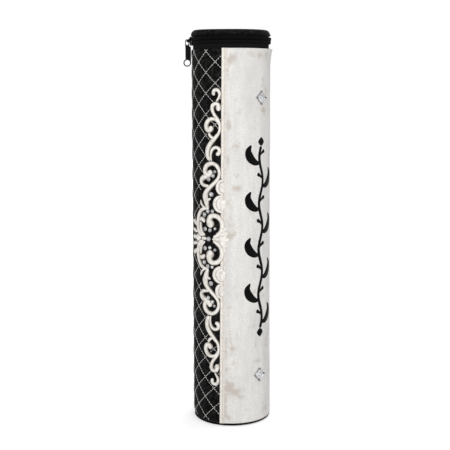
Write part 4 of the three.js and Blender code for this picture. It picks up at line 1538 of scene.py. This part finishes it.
def make_vine():
    stem = [vine_stem(step / VINE_STEM_STEPS) for step in range(VINE_STEM_STEPS + 1)]
    routes = [[(*place, VINE_STEM_WIDTH_SHARE * VINE_HALF) for place in stem]]
    for number in range(VINE_LEAVES):
        side = 1 if number % 2 == 0 else -1
        routes.append(grow(VINE_LEAF_SHARES, (number + VINE_LEAF_ROOT_SHARE) / VINE_LEAVES, side))
        routes.append(grow(VINE_TENDRIL_SHARES, (number + VINE_TENDRIL_ROOT_SHARE) / VINE_LEAVES, -side))
    routes.append(grow(VINE_BUD_SHARES, 0, 1, -1))
    routes.append(grow(VINE_BUD_SHARES, 1, 1))
    strokes = [(route, sizes().relief * VINE_RELIEF_SHARE, 1.0) for route in routes]
    vine = embroidery("vine_embroidery", strokes, lambda arc: PANEL_RADIUS, lambda arc: 1.0)
    dress(vine, "black_thread", "black_thread", "case_body", "vine_motif")


# Zip

TOOTH_LENGTH_SHARE = 0.74  # of the coil's pitch
TOOTH_CORNER_SHARE = 0.3
TOOTH_DEPTH_SHARE = 0.92  # of the row's wall
BODY_ROW_INSET = 0.35 * MM
CORD_INSET = 0.55 * MM
CORD_MARGIN = 0.3 * MM
CORD_CORNER = 0.25 * MM
STRIP_STEPS = 120
TAPE_CORNER = 0.2 * MM
TAPE_BEHIND_QUILT = 0.6 * MM
TAPE_BEHIND_LID = 0.5 * MM
FACING_INSET = 0.2 * MM
FACING_ABOVE_BOARD = 0.1 * MM
FACING_BEHIND_LID = 0.4 * MM
FACING_END_TURN = 0.008
TAPE_STITCH = 2.4 * MM
TAPE_THREAD_HALF_WIDTH = 0.2 * MM
TAPE_THREAD_HALF_HEIGHT = 0.18 * MM
DARK_STITCH_SHARE = 0.42
TAPE_STITCH_HALVES = (
    TAPE_STITCH * DARK_STITCH_SHARE, TAPE_THREAD_HALF_WIDTH, TAPE_THREAD_HALF_HEIGHT,
)
TAPE_STITCH_LIFT = 0.05 * MM
TAPE_STITCH_END_SHARE = 0.98
TAPE_SEAM_FROM_FOOT = 1.1 * MM
TAPE_SEAM_FROM_TOP = 0.7 * MM
TAPE_SEAM_HEIGHTS = (TAPE_LOW + TAPE_SEAM_FROM_FOOT, TAPE_HIGH - TAPE_SEAM_FROM_TOP)
STOP_ROUNDING = 0.5 * MM
STOP_CORNER = 0.15 * MM


def make_row(node, body, inset, shift):
    """One row of the coil: loops seen as small rounded bars, and the cord that they wind round."""
    low, high = heights_of(node)
    inner = inner_of(node)
    outer = outer_of(node)
    end = turn_of(node, max)
    pitch = sizes().tooth_pitch
    depth = (outer - inner) * TOOTH_DEPTH_SHARE
    count = int(2 * end * outer / pitch)
    loop = cube("coil_loop", pitch * TOOTH_LENGTH_SHARE, high - low, depth)
    bevel(loop, pitch * TOOTH_CORNER_SHARE)
    turns = [-end + 2 * end * (number + 0.5 + shift) / (count + 1) for number in range(count)]
    placings = round_the_case(turns, outer - inset - depth / 2, (low + high) / 2)
    loops = copies(f"{node}_loops", loop, placings)
    smooth(loops, 60)
    section = rounded_box(inner, outer - CORD_INSET, low + CORD_MARGIN, high - CORD_MARGIN, CORD_CORNER)
    cord = arc_strip(f"{node}_cord", section, -end, end, STRIP_STEPS)
    dress(join_pieces(f"{node}_coil", [loops, cord]), "zipper_coil", "zipper_coil", body, node)


def make_tape(node, low, high, body):
    end = turn_of(node, max)
    section = rounded_box(inner_of(node), outer_of(node), low, high, TAPE_CORNER)
    tape = arc_strip(f"{node}_band", section, -end, end, STRIP_STEPS)
    dress(tape, "zipper_tape", "zipper_tape", body, node)


def make_lid_facing():
    """Tape that covers the lid's board beside the hinge, where the slider parks."""
    low = heights_of("lid_board_rim")[0] + FACING_ABOVE_BOARD
    inner = inner_of("zipper_tape_lid")
    outer = outer_of("zipper_tape_lid") - FACING_INSET
    section = rounded_box(inner, outer, low, LID_LOW + FACING_BEHIND_LID, TAPE_CORNER)
    first = turn_of("zipper_tape_lid", max)
    last = TAPE_TURN - FACING_END_TURN
    ends = [arc_strip("lid_facing_end", section, *span, 24) for span in ((-last, -first), (first, last))]
    dress(join_pieces("lid_facing", ends), "zipper_tape", "zipper_tape", "lid")


def make_tape_stitches():
    """Black thread in two rows on the body's tape."""
    radius = outer_of("zipper_tape_body")
    end = TAPE_TURN * TAPE_STITCH_END_SHARE
    turns = even_turns(int(2 * end * radius / TAPE_STITCH), end)
    placings = []
    for height in TAPE_SEAM_HEIGHTS:
        placings += round_the_case(turns, radius + TAPE_STITCH_LIFT, height)
    seam("tape_stitches", TAPE_STITCH_HALVES, placings, "dark_thread", "zipper_tape", "case_body")


def make_stop(name):
    section = rounded_box(inner_of(name), outer_of(name), *heights_of(name), STOP_ROUNDING)
    stop = arc_strip(f"{name}_crimp", section, turn_of(name, min), turn_of(name, max), 6)
    bevel(stop, STOP_CORNER, limit_method="ANGLE")
    smooth(stop)
    dress(stop, "black_metal", "black_metal", "case_body", name)


# Slider and pull

SLIDER_LOW, SLIDER_HIGH = heights_of("zipper_slider")
SLIDER_MIDDLE = (SLIDER_LOW + SLIDER_HIGH) / 2
SLIDER_HALF_HEIGHT = (SLIDER_HIGH - SLIDER_LOW) / 2
SLIDER_HALF_LENGTH = 6.0 * MM
FIT_GAP = 0.3 * MM
PLATE_WALL = 0.85 * MM
PLATE_EDGE = 0.25 * MM
PLATE_OUTER = outer_of("zipper_row_body") + FIT_GAP + PLATE_WALL
PLATE_MIDDLE = PLATE_OUTER - PLATE_WALL / 2
SLIDER_INNER = outer_of("zipper_tape_body") + FIT_GAP
LIP_WALL = 0.8 * MM
LIP_CORNER = 0.25 * MM
LIP_LENGTH_SHARE = 0.82
BRIDGE_RADIUS = 0.75 * MM
BRIDGE_HALF = 3.1 * MM
BRIDGE_STEPS = 20
BRIDGE_SIDES = 10
EYE_HOLE_RADIUS = BRIDGE_RADIUS + FIT_GAP
EYE_WALL = 0.9 * MM
EYE_RADIUS = EYE_HOLE_RADIUS + EYE_WALL
BRIDGE_AXIS = PLATE_OUTER + FIT_GAP + EYE_RADIUS
LUG_WALL = 0.9 * MM
LUG_EDGE = 0.2 * MM
LUG_FROM_MIDDLE = 2.0 * MM
WEDGE_LENGTH = 3 * MM
WEDGE_CORNER = 0.2 * MM
WEDGE_FROM_SHARE = 0.9
# Upper half of the slider's plate: shares of its half length and half height
PLATE_OUTLINE_SHARES = [
    (-1.0, 0.62), (-0.86, 0.86), (-0.45, 1.0), (0.25, 1.0), (0.7, 0.9), (0.95, 0.66), (1.0, 0.3),
]
PLATE_HEIGHT_SHARE = 0.96
# A lug beside the bridge, in eye radii: out from the plate and up from the bridge's axis
SLIDER_LUG_SHARES = [
    (0.0, -0.7), (1.1, -0.55), (1.5, -0.1), (1.45, 0.4), (0.9, 0.85), (0.4, 1.3), (0.0, 1.6),
]
# Lower part of the pull's heart-shaped eye, in hole radii
PULL_EYE_SHARES = [
    (-1.2, -0.9), (-1.22, -1.9), (-0.9, -2.9), (-0.3, -3.6),
    (0.3, -3.6), (0.9, -2.9), (1.22, -1.9), (1.2, -0.9),
]
PULL_DROP = 20.8 * MM
PULL_RING_RADIUS = 3.75 * MM
PULL_HOLE_RADIUS = 2.68 * MM
PULL_INNER = -3.7 * MM  # sides of the shank, from the eye's middle
PULL_OUTER = 1.75 * MM
PULL_NECK = SPLIT_HEIGHT - SLIDER_LOW + FIT_GAP
PULL_WAIST_HEIGHT = 1.4 * MM
PULL_SHOULDER = PULL_NECK + PULL_WAIST_HEIGHT
PULL_WALL = 1.5 * MM
PULL_EDGE = 0.3 * MM

# Axes where the slider is parked
AROUND, UP, OUTWARD = axes_at(PARK_TURN)


def flat_plate(name, outlines, thickness, edge, axes, origin):
    """A placed flat plate with rounded edges from closed outlines, the later ones being holes."""
    curve = bpy.data.curves.new(name, "CURVE")
    curve.dimensions = "2D"
    curve.fill_mode = "BOTH"
    curve.extrude = thickness / 2 - edge
    curve.bevel_depth = edge
    curve.bevel_resolution = 2
    curve.offset = -edge
    for outline in outlines:
        spline = curve.splines.new("POLY")
        spline.points.add(len(outline) - 1)
        for point, (x, y) in zip(spline.points, outline):
            point.co = (x, y, 0, 1)
        spline.use_cyclic_u = True
    piece = link_object(name, curve)
    activate(piece)
    bpy.ops.object.convert(target="MESH")
    face_outwards(piece)
    place_local(piece, axes, origin)
    face_outwards(piece)
    return piece


def bend_to_case(piece, radius):
    """Bends a flat plate at the slider's place round the case."""
    points = points_of(piece)
    turn = points @ AROUND / radius
    reach = points @ OUTWARD
    bent = np.outer(reach * np.cos(turn), OUTWARD) + np.outer(reach * np.sin(turn), AROUND)
    bent[:, 2] = points[:, 2]
    move_points(piece, bent)


def slider_bridge():
    """Round bar arched over the plate, with closed ends."""
    shares = [step / BRIDGE_STEPS * 2 - 1 for step in range(BRIDGE_STEPS + 1)]
    rise = BRIDGE_AXIS - PLATE_MIDDLE
    path = np.array([(share * BRIDGE_HALF, rise * (1 - abs(share) ** 5), 0.0) for share in shares])
    points = []
    for place, direction in zip(path, directions_of(path)):
        side = np.array((-direction[1], direction[0], 0.0))
        for turn in np.arange(BRIDGE_SIDES) * 2 * math.pi / BRIDGE_SIDES:
            points.append(place + BRIDGE_RADIUS * (side * math.cos(turn) + UP * math.sin(turn)))
    piece = mesh_piece("slider_bridge", np.array(points).tolist(), tube_faces(len(path), BRIDGE_SIDES))
    place_local(piece, (AROUND, OUTWARD, UP), OUTWARD * PLATE_MIDDLE + UP * SPLIT_HEIGHT)
    face_outwards(piece)
    return piece


def make_slider():
    length, height = SLIDER_HALF_LENGTH, SLIDER_HALF_HEIGHT * PLATE_HEIGHT_SHARE
    outline = [(x * length, y * height) for x, y in PLATE_OUTLINE_SHARES]
    outline += [(x, -y) for x, y in reversed(outline)]
    middle = OUTWARD * PLATE_MIDDLE + UP * SLIDER_MIDDLE
    crown = flat_plate("slider_crown", [outline], PLATE_WALL, PLATE_EDGE, (AROUND, UP, OUTWARD), middle)
    bend_to_case(crown, PLATE_OUTER)
    pieces = [crown]
    spread = length / PLATE_OUTER * LIP_LENGTH_SHARE
    for low in (SLIDER_LOW, SLIDER_HIGH - LIP_WALL):
        section = rounded_box(SLIDER_INNER, PLATE_MIDDLE, low, low + LIP_WALL, LIP_CORNER)
        pieces.append(arc_strip("slider_lip", section, PARK_TURN - spread, PARK_TURN + spread, 10))
    pieces.append(slider_bridge())
    lug = [(out * EYE_RADIUS, rise * EYE_RADIUS) for out, rise in SLIDER_LUG_SHARES]
    for side in (-LUG_FROM_MIDDLE, LUG_FROM_MIDDLE):
        seat = OUTWARD * PLATE_MIDDLE + UP * SPLIT_HEIGHT + AROUND * side
        pieces.append(flat_plate("slider_cheek", [lug], LUG_WALL, LUG_EDGE, (OUTWARD, UP, AROUND), seat))
    nose = rounded_box(
        SLIDER_INNER, PLATE_MIDDLE, SPLIT_HEIGHT + FIT_GAP, LID_ROW_HIGH + FIT_GAP, WEDGE_CORNER
    )
    first = PARK_TURN - length / PLATE_OUTER * WEDGE_FROM_SHARE
    pieces.append(arc_strip("slider_wedge", nose, first, first + WEDGE_LENGTH / PLATE_OUTER, 4))
    slider = join_pieces("zipper_slider_cast", pieces)
    smooth(slider, 45)
    dress(slider, "black_metal", "black_metal", "slider", "zipper_slider")


def arc_points(height, radius, steps, from_turn=0.0, to_turn=2 * math.pi):
    """Points of a circle or arc round a place on the pull's middle line, in even steps."""
    turns = [from_turn + (to_turn - from_turn) * i / steps for i in range(steps + 1)]
    return [(radius * math.cos(turn), height + radius * math.sin(turn)) for turn in turns]


def make_pull():
    """Pull tab: a heart-shaped eye, a waisted shank and a round finger hole."""
    waist = -(PULL_NECK + PULL_SHOULDER) / 2
    first = math.acos(PULL_INNER / PULL_RING_RADIUS)
    last = 2 * math.pi + math.acos(PULL_OUTER / PULL_RING_RADIUS)
    outline = [
        *arc_points(0, EYE_RADIUS, 20, 0.0, math.pi),
        (-EYE_RADIUS, -PULL_NECK),
        ((PULL_INNER - EYE_RADIUS) / 2, waist),
        (PULL_INNER, -PULL_SHOULDER),
        *arc_points(-PULL_DROP, PULL_RING_RADIUS, 40, first, last),
        (PULL_OUTER, -PULL_SHOULDER),
        ((PULL_OUTER + EYE_RADIUS) / 2, waist),
        (EYE_RADIUS, -PULL_NECK),
    ]
    eye = arc_points(0, EYE_HOLE_RADIUS, 16, 0.0, math.pi)
    eye += [(x * EYE_HOLE_RADIUS, y * EYE_HOLE_RADIUS) for x, y in PULL_EYE_SHARES]
    finger = arc_points(-PULL_DROP, PULL_HOLE_RADIUS, 36)[:-1]
    seat = OUTWARD * BRIDGE_AXIS + UP * SPLIT_HEIGHT
    outlines = [outline, eye, finger]
    tab = flat_plate("pull_tab_plate", outlines, PULL_WALL, PULL_EDGE, (OUTWARD, UP, AROUND), seat)
    smooth(tab, 45)
    dress(tab, "black_metal", "black_metal", "pull", "pull_tab")


# Lid, hinge, foot and inside

LID_HEIGHT = LID_HIGH - LID_LOW
LID_FOOT_CUT = 0.3 * MM
LID_WALL = 1.7 * MM
LID_UNDER_CUT = 1.2 * MM
# Side and rounded edge of the lid: out from its nominal side and up, as shares of its height
LID_SIDE_SHARES = [
    (-0.05, 0.0), (0.03, 0.05), (0.07, 0.13), (0.08, 0.22), (0.06, 0.32), (0.0, 0.46), (-0.08, 0.6),
    (-0.17, 0.72), (-0.28, 0.83), (-0.4, 0.91), (-0.54, 0.965), (-0.72, 0.995), (-0.95, 1.01),
]
LID_CROWN = 0.4 * MM
# Its crowned top: shares of its radius and of the crown
LID_CROWN_SHARES = ((0.7, 0.375), (0.4, 0.75), (0, 1))
LID_SLIDER_LIFT = 1.0 * MM
LID_FAR_LIFT = 0.5 * MM
LID_LEAN = 0.35 * MM  # of the padding, towards the slider
LID_STITCH = 3.4 * MM
LID_THREAD_HALF_WIDTH = 0.2 * MM
LID_STITCH_HALVES = (LID_STITCH * DARK_STITCH_SHARE, LID_THREAD_HALF_WIDTH, LID_THREAD_HALF_WIDTH)
LID_STITCH_LIFT = 0.5 * MM
LID_STITCH_FROM_FOOT = 0.55 * MM
LID_STITCH_HEIGHT = LID_LOW + LID_STITCH_FROM_FOOT
CAMERA_TURN = math.radians(-49.2)


def lid_lift(turn):
    """The lid's shoulders stand a little higher at both sides, as the camera sees them."""
    toward = math.cos(turn - CAMERA_TURN + math.pi / 2)
    return LID_SLIDER_LIFT * max(0.0, toward) ** 2 + LID_FAR_LIFT * max(0.0, -toward) ** 2


def make_lid():
    under = LID_HIGH - LID_WALL
    profile = [
        (0, under),
        (COVER_INNER - LID_UNDER_CUT, under),
        (COVER_INNER, under - LID_UNDER_CUT),
        (COVER_INNER, LID_LOW + LID_FOOT_CUT),
        (COVER_INNER + LID_FOOT_CUT, LID_LOW),
    ]
    profile += [
        (LID_RADIUS + out * LID_HEIGHT, LID_LOW + up * LID_HEIGHT) for out, up in LID_SIDE_SHARES
    ]
    profile += [(LID_RADIUS * out, LID_HIGH + LID_CROWN * up) for out, up in LID_CROWN_SHARES]
    lid = turned("lid_cover_padded", profile, 144)
    for point in lid.data.vertices:
        reach = math.hypot(point.co.x, point.co.y) / LID_RADIUS
        share = max(0.0, (point.co.z - LID_LOW) / LID_HEIGHT)
        if reach > 0:
            point.co.z += lid_lift(turn_of_point(point.co)) * reach**3 * share
            lean = LID_LEAN * min(1.0, 3 * share) * reach**4
            point.co.xy += Vector(OUTWARD[:2]) * lean
    dress(lid, "lid_leatherette", "leatherette", "lid", "lid_cover")


def make_lid_stitches():
    count = int(2 * math.pi * LID_RADIUS / LID_STITCH)
    turns = [2 * math.pi * number / count for number in range(count)]
    placings = round_the_case(turns, LID_RADIUS + LID_STITCH_LIFT, LID_STITCH_HEIGHT)
    seam("lid_stitches", LID_STITCH_HALVES, placings, "dark_thread", "leatherette", "lid", 8)


HINGE_COLUMNS = 49
HINGE_ROWS = 29
HINGE_WALL = 0.9 * MM
HINGE_PINCH = 0.45 * MM
HINGE_PINCH_WIDTH = 1.3 * MM
HINGE_ROLL = 0.35 * MM
HINGE_ROLL_SHARE = 0.08
HINGE_CLEAR_TURN = math.radians(0.45)


def make_hinge():
    """One strip of leatherette that crosses the lid's joint, drawn in along the split and at its top and
    foot.
    """
    low = heights_of("hinge_strip_body")[0]
    high = heights_of("hinge_strip_lid")[1]
    outer = outer_of("hinge_strip_body")
    half = math.pi - TAPE_TURN - HINGE_CLEAR_TURN
    points = []
    for layer in (0.0, HINGE_WALL):
        for share in np.linspace(0, 1, HINGE_ROWS):
            height = low + (high - low) * share
            edge = max(0.0, 1 - share / HINGE_ROLL_SHARE, 1 - (1 - share) / HINGE_ROLL_SHARE)
            pinch = HINGE_PINCH * bell(height - SPLIT_HEIGHT, HINGE_PINCH_WIDTH) + HINGE_ROLL * edge**2
            for turn in even_turns(HINGE_COLUMNS, half):
                points.append(at_turn(math.pi + turn, outer - pinch - layer, height))
    sheet = HINGE_ROWS * HINGE_COLUMNS
    grid = np.arange(sheet).reshape(HINGE_ROWS, HINGE_COLUMNS)
    faces = []
    for row, above in zip(grid, grid[1:]):
        for quad in zip(row, row[1:], above[1:], above):
            faces.append(tuple(int(i) for i in quad))
            faces.append(tuple(int(i) + sheet for i in reversed(quad)))
    rim = [int(i) for i in (*grid[0], *grid[1:, -1], *grid[-1, -2::-1], *grid[-2:0:-1, 0])]
    for first, second in zip(rim, rim[1:] + rim[:1]):
        faces.append((second, first, sheet + first, sheet + second))
    hinge = mesh_piece("cloth_hinge", points, faces)
    face_outwards(hinge)
    smooth(hinge, 50)
    hinge.data.materials.append(FINISHES["leatherette"])
    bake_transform(hinge)
    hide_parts("hinge_strip_body", "hinge_strip_lid")


FOOT_CUT = 0.9 * MM
FOOT_CUT_HEIGHT = 0.6 * MM
FOOT_SHOULDER_CUT = 0.35 * MM
FOOT_SHOULDER_HEIGHT = 0.15 * MM
FOOT_ROUNDING = ((FOOT_CUT, 0.0), (FOOT_SHOULDER_CUT, FOOT_SHOULDER_HEIGHT), (0.0, FOOT_CUT_HEIGHT))
BINDING_STEPS = 8
BINDING_DRAW = 0.5 * MM  # beyond the hems
BINDING_DRAW_REACH = 2 * MM


def make_foot():
    low, high = heights_of("bottom_cover")
    outer = outer_of("bottom_cover")
    rounding = [(outer - inward, low + up) for inward, up in FOOT_ROUNDING]
    foot = turned("foot_cover_disc", [(0, low), *rounding, (outer, high), (0, high)])
    dress(foot, "leatherette", "leatherette", "case_body", "bottom_cover")


def make_binding():
    low, high = heights_of("bottom_binding")
    inner = inner_of("bottom_binding")
    half = (high - low) / 2
    crown = outer_of("bottom_binding") - half
    turns = [-math.pi / 2 + math.pi * step / BINDING_STEPS for step in range(BINDING_STEPS + 1)]
    profile = [(crown + half * math.cos(turn), low + half + half * math.sin(turn)) for turn in turns]
    binding = turned("foot_binding_roll", [(inner, low), *profile, (inner, high), (inner, low)])
    for point in binding.data.vertices:
        beyond = (abs(turn_of_point(point.co)) - HEM_OUTER_TURN) * BOARD_RADIUS
        if beyond > 0:
            reach = math.hypot(point.co.x, point.co.y)
            drawn_in = max(inner, reach - BINDING_DRAW * min(1.0, beyond / BINDING_DRAW_REACH))
            point.co.xy *= drawn_in / reach
    dress(binding, "leatherette", "leatherette", "case_body", "bottom_binding")


RING_CUT = 0.25 * MM
DISC_CUT = 0.2 * MM
LID_BOARD_CUT = 1.2 * MM
LID_LINING_WALL = 0.8 * MM
LID_LINING_FILLET = 0.6 * MM
LID_LINING_CUT = 0.3 * MM


def make_inside():
    """Boards and lining, as smooth rings and discs."""
    rings = (
        ("tube_board", "board", "case_body"),
        ("body_lining", "lining", "case_body"),
        ("lid_board_rim", "board", "lid"),
    )
    for node, finish, body in rings:
        low, high = heights_of(node)
        inner = inner_of(node)
        outer = outer_of(node)
        shoulder = high - RING_CUT
        top = [(outer, shoulder), (outer - RING_CUT, high), (inner + RING_CUT, high), (inner, shoulder)]
        ring = turned(f"{node}_wall", [(inner, low), (outer, low), *top, (inner, low)])
        dress(ring, finish, finish, body, node)
    discs = (
        ("floor_lining", "lining", "case_body", DISC_CUT),
        ("bottom_board", "board", "case_body", DISC_CUT),
        ("lid_board", "board", "lid", LID_BOARD_CUT),
    )
    for node, finish, body, cut in discs:
        low, high = heights_of(node)
        outer = outer_of(node)
        profile = [(0, low), (outer, low), (outer, high - cut), (outer - cut, high), (0, high)]
        dress(turned(f"{node}_disc", profile, 96), finish, finish, body, node)


def make_lid_lining():
    low, high = heights_of("lid_lining")
    outer = outer_of("lid_lining")
    inner = outer - LID_LINING_WALL
    ceiling = high - LID_LINING_WALL
    profile = [
        (0, ceiling), (inner - LID_LINING_FILLET, ceiling), (inner, ceiling - LID_LINING_FILLET),
        (inner, low), (outer, low), (outer, high - LID_LINING_CUT),
        (outer - LID_LINING_CUT, high), (0, high),
    ]
    dress(turned("lid_lining_cup", profile), "lining", "lining", "lid", "lid_lining")


# Stage

CAMERA_DISTANCE = 933.9 * MM
CAMERA_HEIGHT = 330.8 * MM
CAMERA_PITCH = 0.1089
CAMERA_ROLL = 0.0026
FOCAL_PIXELS = 946.7
PICTURE_PIXELS = 450
CENTRE_PIXELS = (231.0, 189.9)
SENSOR_WIDTH = 36.0
WHITE = (1, 1, 1)
FLOOR_COLOUR = (0.86, 0.86, 0.86)
FLOOR_RADIUS = 4.0
FLOOR_HEIGHT = -0.05 * MM
FLOOR_GLOW = (0.36, 1.0)  # under the case, and far off
FLOOR_GLOW_REACH = (0.15, 1.1)
WORLD_LEVEL = 0.55
LIGHT_AIM = (0, 0, 0.2)
# Turn from the camera, distance, height, width and height of the panel, and power
LIGHTS = {
    "key_panel": (-0.12, 1.5, 0.84, 1.3, 1.3, 15.9),
    "fill_panel": (0.7, 1.7, 0.7, 1.2, 1.4, 5),
    "top_panel": (2.6, 1.1, 1.6, 1.0, 1.0, 8),
}


def make_camera():
    data = bpy.data.cameras.new("photo_camera")
    data.sensor_width = SENSOR_WIDTH
    data.lens = FOCAL_PIXELS / PICTURE_PIXELS * SENSOR_WIDTH
    data.shift_x = (PICTURE_PIXELS / 2 - CENTRE_PIXELS[0]) / PICTURE_PIXELS
    data.shift_y = (CENTRE_PIXELS[1] - PICTURE_PIXELS / 2) / PICTURE_PIXELS
    camera = link_object("photo_camera", data)
    camera.location = at_turn(CAMERA_TURN, CAMERA_DISTANCE, CAMERA_HEIGHT)
    camera.rotation_euler = (math.pi / 2 - CAMERA_PITCH, CAMERA_ROLL, CAMERA_TURN)
    bpy.context.scene.camera = camera


def make_lights():
    for name, (turn, distance, height, width, tall, power) in LIGHTS.items():
        data = bpy.data.lights.new(name, "AREA")
        data.shape = "RECTANGLE"
        data.size = width
        data.size_y = tall
        data.energy = power
        light = link_object(name, data)
        light.location = at_turn(CAMERA_TURN + turn, distance, height)
        away = light.location - Vector(LIGHT_AIM)
        light.rotation_euler = (math.atan2(away.xy.length, away.z), 0, turn_of_point(away))


def make_floor():
    """Pale diffuse ground that looks white to the camera, and in gloss and glass."""
    bpy.ops.mesh.primitive_circle_add(
        vertices=96, radius=FLOOR_RADIUS, fill_type="NGON", location=(0, 0, FLOOR_HEIGHT)
    )
    floor = take("studio_floor")
    settle(floor)
    finish = Finish("studio_white")
    reach = finish.add("VectorMath", {0: finish.place}, operation="LENGTH")["Value"]
    glow = finish.math("MULTIPLY", finish.seen(), finish.spread(reach, *FLOOR_GLOW_REACH, *FLOOR_GLOW))
    surface = {"Base Color": FLOOR_COLOUR, "Roughness": 0.9, "Specular IOR Level": 0.0}
    finish.feed(finish.shader, {**surface, "Emission Color": WHITE, "Emission Strength": glow})
    floor.data.materials.append(finish.material)


def make_world():
    world = bpy.data.worlds.new("studio")
    bpy.context.scene.world = world
    world.use_nodes = True
    tree = Tree(world.node_tree)
    lifted = tree.math("MULTIPLY", tree.seen(), 1 - WORLD_LEVEL)
    strength = tree.math("ADD", lifted, WORLD_LEVEL)
    tree.feed(tree.nodes["Background"], {"Color": WHITE, "Strength": strength})


# Operators, one for each piece or group of like pieces


class CASE_OT_finishes(bpy.types.Operator):
    """Make the case's materials"""

    bl_idname = "scroll_case.finishes"
    bl_label = "Finishes"

    def execute(self, context):
        make_finishes()
        return {"FINISHED"}


class CASE_OT_quilt(bpy.types.Operator):
    """Model the padded cover and its stitching"""

    bl_idname = "scroll_case.quilt"
    bl_label = "Quilted cover"

    def execute(self, context):
        make_quilt()
        make_quilting()
        return {"FINISHED"}


class CASE_OT_panel(bpy.types.Operator):
    """Model the ivory panel with its rolled hems"""

    bl_idname = "scroll_case.panel"
    bl_label = "Front panel"

    def execute(self, context):
        make_panel()
        make_hem(-1, "left")
        make_hem(1, "right")
        make_hem_stitches()
        return {"FINISHED"}


class CASE_OT_scrolls(bpy.types.Operator):
    """Model the cream scroll ornament at both hems"""

    bl_idname = "scroll_case.scrolls"
    bl_label = "Scroll embroidery"

    def execute(self, context):
        make_scroll(-1, "left")
        make_scroll(1, "right")
        return {"FINISHED"}


class CASE_OT_rhinestones(bpy.types.Operator):
    """Model the stones set in the ornament"""

    bl_idname = "scroll_case.rhinestones"
    bl_label = "Rhinestones"

    def execute(self, context):
        make_rhinestones(-1, "left")
        make_rhinestones(1, "right")
        return {"FINISHED"}


class CASE_OT_studs(bpy.types.Operator):
    """Model the two square crystals"""

    bl_idname = "scroll_case.studs"
    bl_label = "Square studs"

    def execute(self, context):
        make_stud("lower")
        make_stud("upper")
        return {"FINISHED"}


class CASE_OT_vine(bpy.types.Operator):
    """Model the black vine on the panel"""

    bl_idname = "scroll_case.vine"
    bl_label = "Vine"

    def execute(self, context):
        make_vine()
        return {"FINISHED"}


class CASE_OT_zip(bpy.types.Operator):
    """Model the tapes, coil rows and stops"""

    bl_idname = "scroll_case.zip"
    bl_label = "Zip"

    def execute(self, context):
        make_tape("zipper_tape_body", QUILT_HIGH - TAPE_BEHIND_QUILT, ROW_HIGH, "case_body")
        make_tape("zipper_tape_lid", LID_ROW_LOW, LID_LOW + TAPE_BEHIND_LID, "lid")
        make_row("zipper_row_body", "case_body", BODY_ROW_INSET, 0.0)
        make_row("zipper_row_lid", "lid", 0.0, 0.5)
        make_lid_facing()
        make_tape_stitches()
        make_stop("zipper_stop_closed_end")
        make_stop("zipper_stop_open_end")
        return {"FINISHED"}


class CASE_OT_slider(bpy.types.Operator):
    """Model the zip's slider"""

    bl_idname = "scroll_case.slider"
    bl_label = "Slider"

    def execute(self, context):
        make_slider()
        return {"FINISHED"}


class CASE_OT_pull(bpy.types.Operator):
    """Model the pull tab"""

    bl_idname = "scroll_case.pull"
    bl_label = "Pull tab"

    def execute(self, context):
        make_pull()
        return {"FINISHED"}


class CASE_OT_lid(bpy.types.Operator):
    """Model the padded lid"""

    bl_idname = "scroll_case.lid"
    bl_label = "Lid"

    def execute(self, context):
        make_lid()
        make_lid_stitches()
        return {"FINISHED"}


class CASE_OT_hinge(bpy.types.Operator):
    """Model the hinge strip at the back"""

    bl_idname = "scroll_case.hinge"
    bl_label = "Cloth hinge"

    def execute(self, context):
        make_hinge()
        return {"FINISHED"}


class CASE_OT_foot(bpy.types.Operator):
    """Model the foot cover and its binding"""

    bl_idname = "scroll_case.foot"
    bl_label = "Foot"

    def execute(self, context):
        make_foot()
        make_binding()
        return {"FINISHED"}


class CASE_OT_inside(bpy.types.Operator):
    """Model the boards and lining"""

    bl_idname = "scroll_case.inside"
    bl_label = "Inside"

    def execute(self, context):
        make_inside()
        make_lid_lining()
        return {"FINISHED"}


class CASE_OT_stage(bpy.types.Operator):
    """Make the floor, lights and camera"""

    bl_idname = "scroll_case.stage"
    bl_label = "Stage"

    def execute(self, context):
        make_floor()
        make_world()
        make_lights()
        make_camera()
        bpy.context.scene.view_settings.view_transform = "Standard"
        return {"FINISHED"}


OPERATORS = [
    CASE_OT_finishes, CASE_OT_quilt, CASE_OT_panel, CASE_OT_scrolls, CASE_OT_rhinestones,
    CASE_OT_studs, CASE_OT_vine, CASE_OT_zip, CASE_OT_slider, CASE_OT_pull, CASE_OT_lid,
    CASE_OT_hinge, CASE_OT_foot, CASE_OT_inside, CASE_OT_stage,
]


class CASE_PT_panel(bpy.types.Panel):
    """Lists the case's pieces"""

    bl_label = "Scroll Case"
    bl_idname = "CASE_PT_panel"
    bl_space_type = "VIEW_3D"
    bl_region_type = "UI"
    bl_category = "Scroll Case"

    def draw(self, context):
        for operator in OPERATORS:
            self.layout.operator(operator.bl_idname)


CLASSES = [CaseSizes, CaseColours, *OPERATORS, CASE_PT_panel]


def register():
    for item in CLASSES:
        bpy.utils.register_class(item)
    bpy.types.Scene.case_sizes = PointerProperty(type=CaseSizes)
    bpy.types.Scene.case_colours = PointerProperty(type=CaseColours)


def unregister():
    del bpy.types.Scene.case_sizes
    del bpy.types.Scene.case_colours
    for item in reversed(CLASSES):
        bpy.utils.unregister_class(item)


def main():
    register()
    for operator in OPERATORS:
        getattr(bpy.ops.scroll_case, operator.bl_idname.split(".")[1])()


if __name__ == "__main__":
    main()
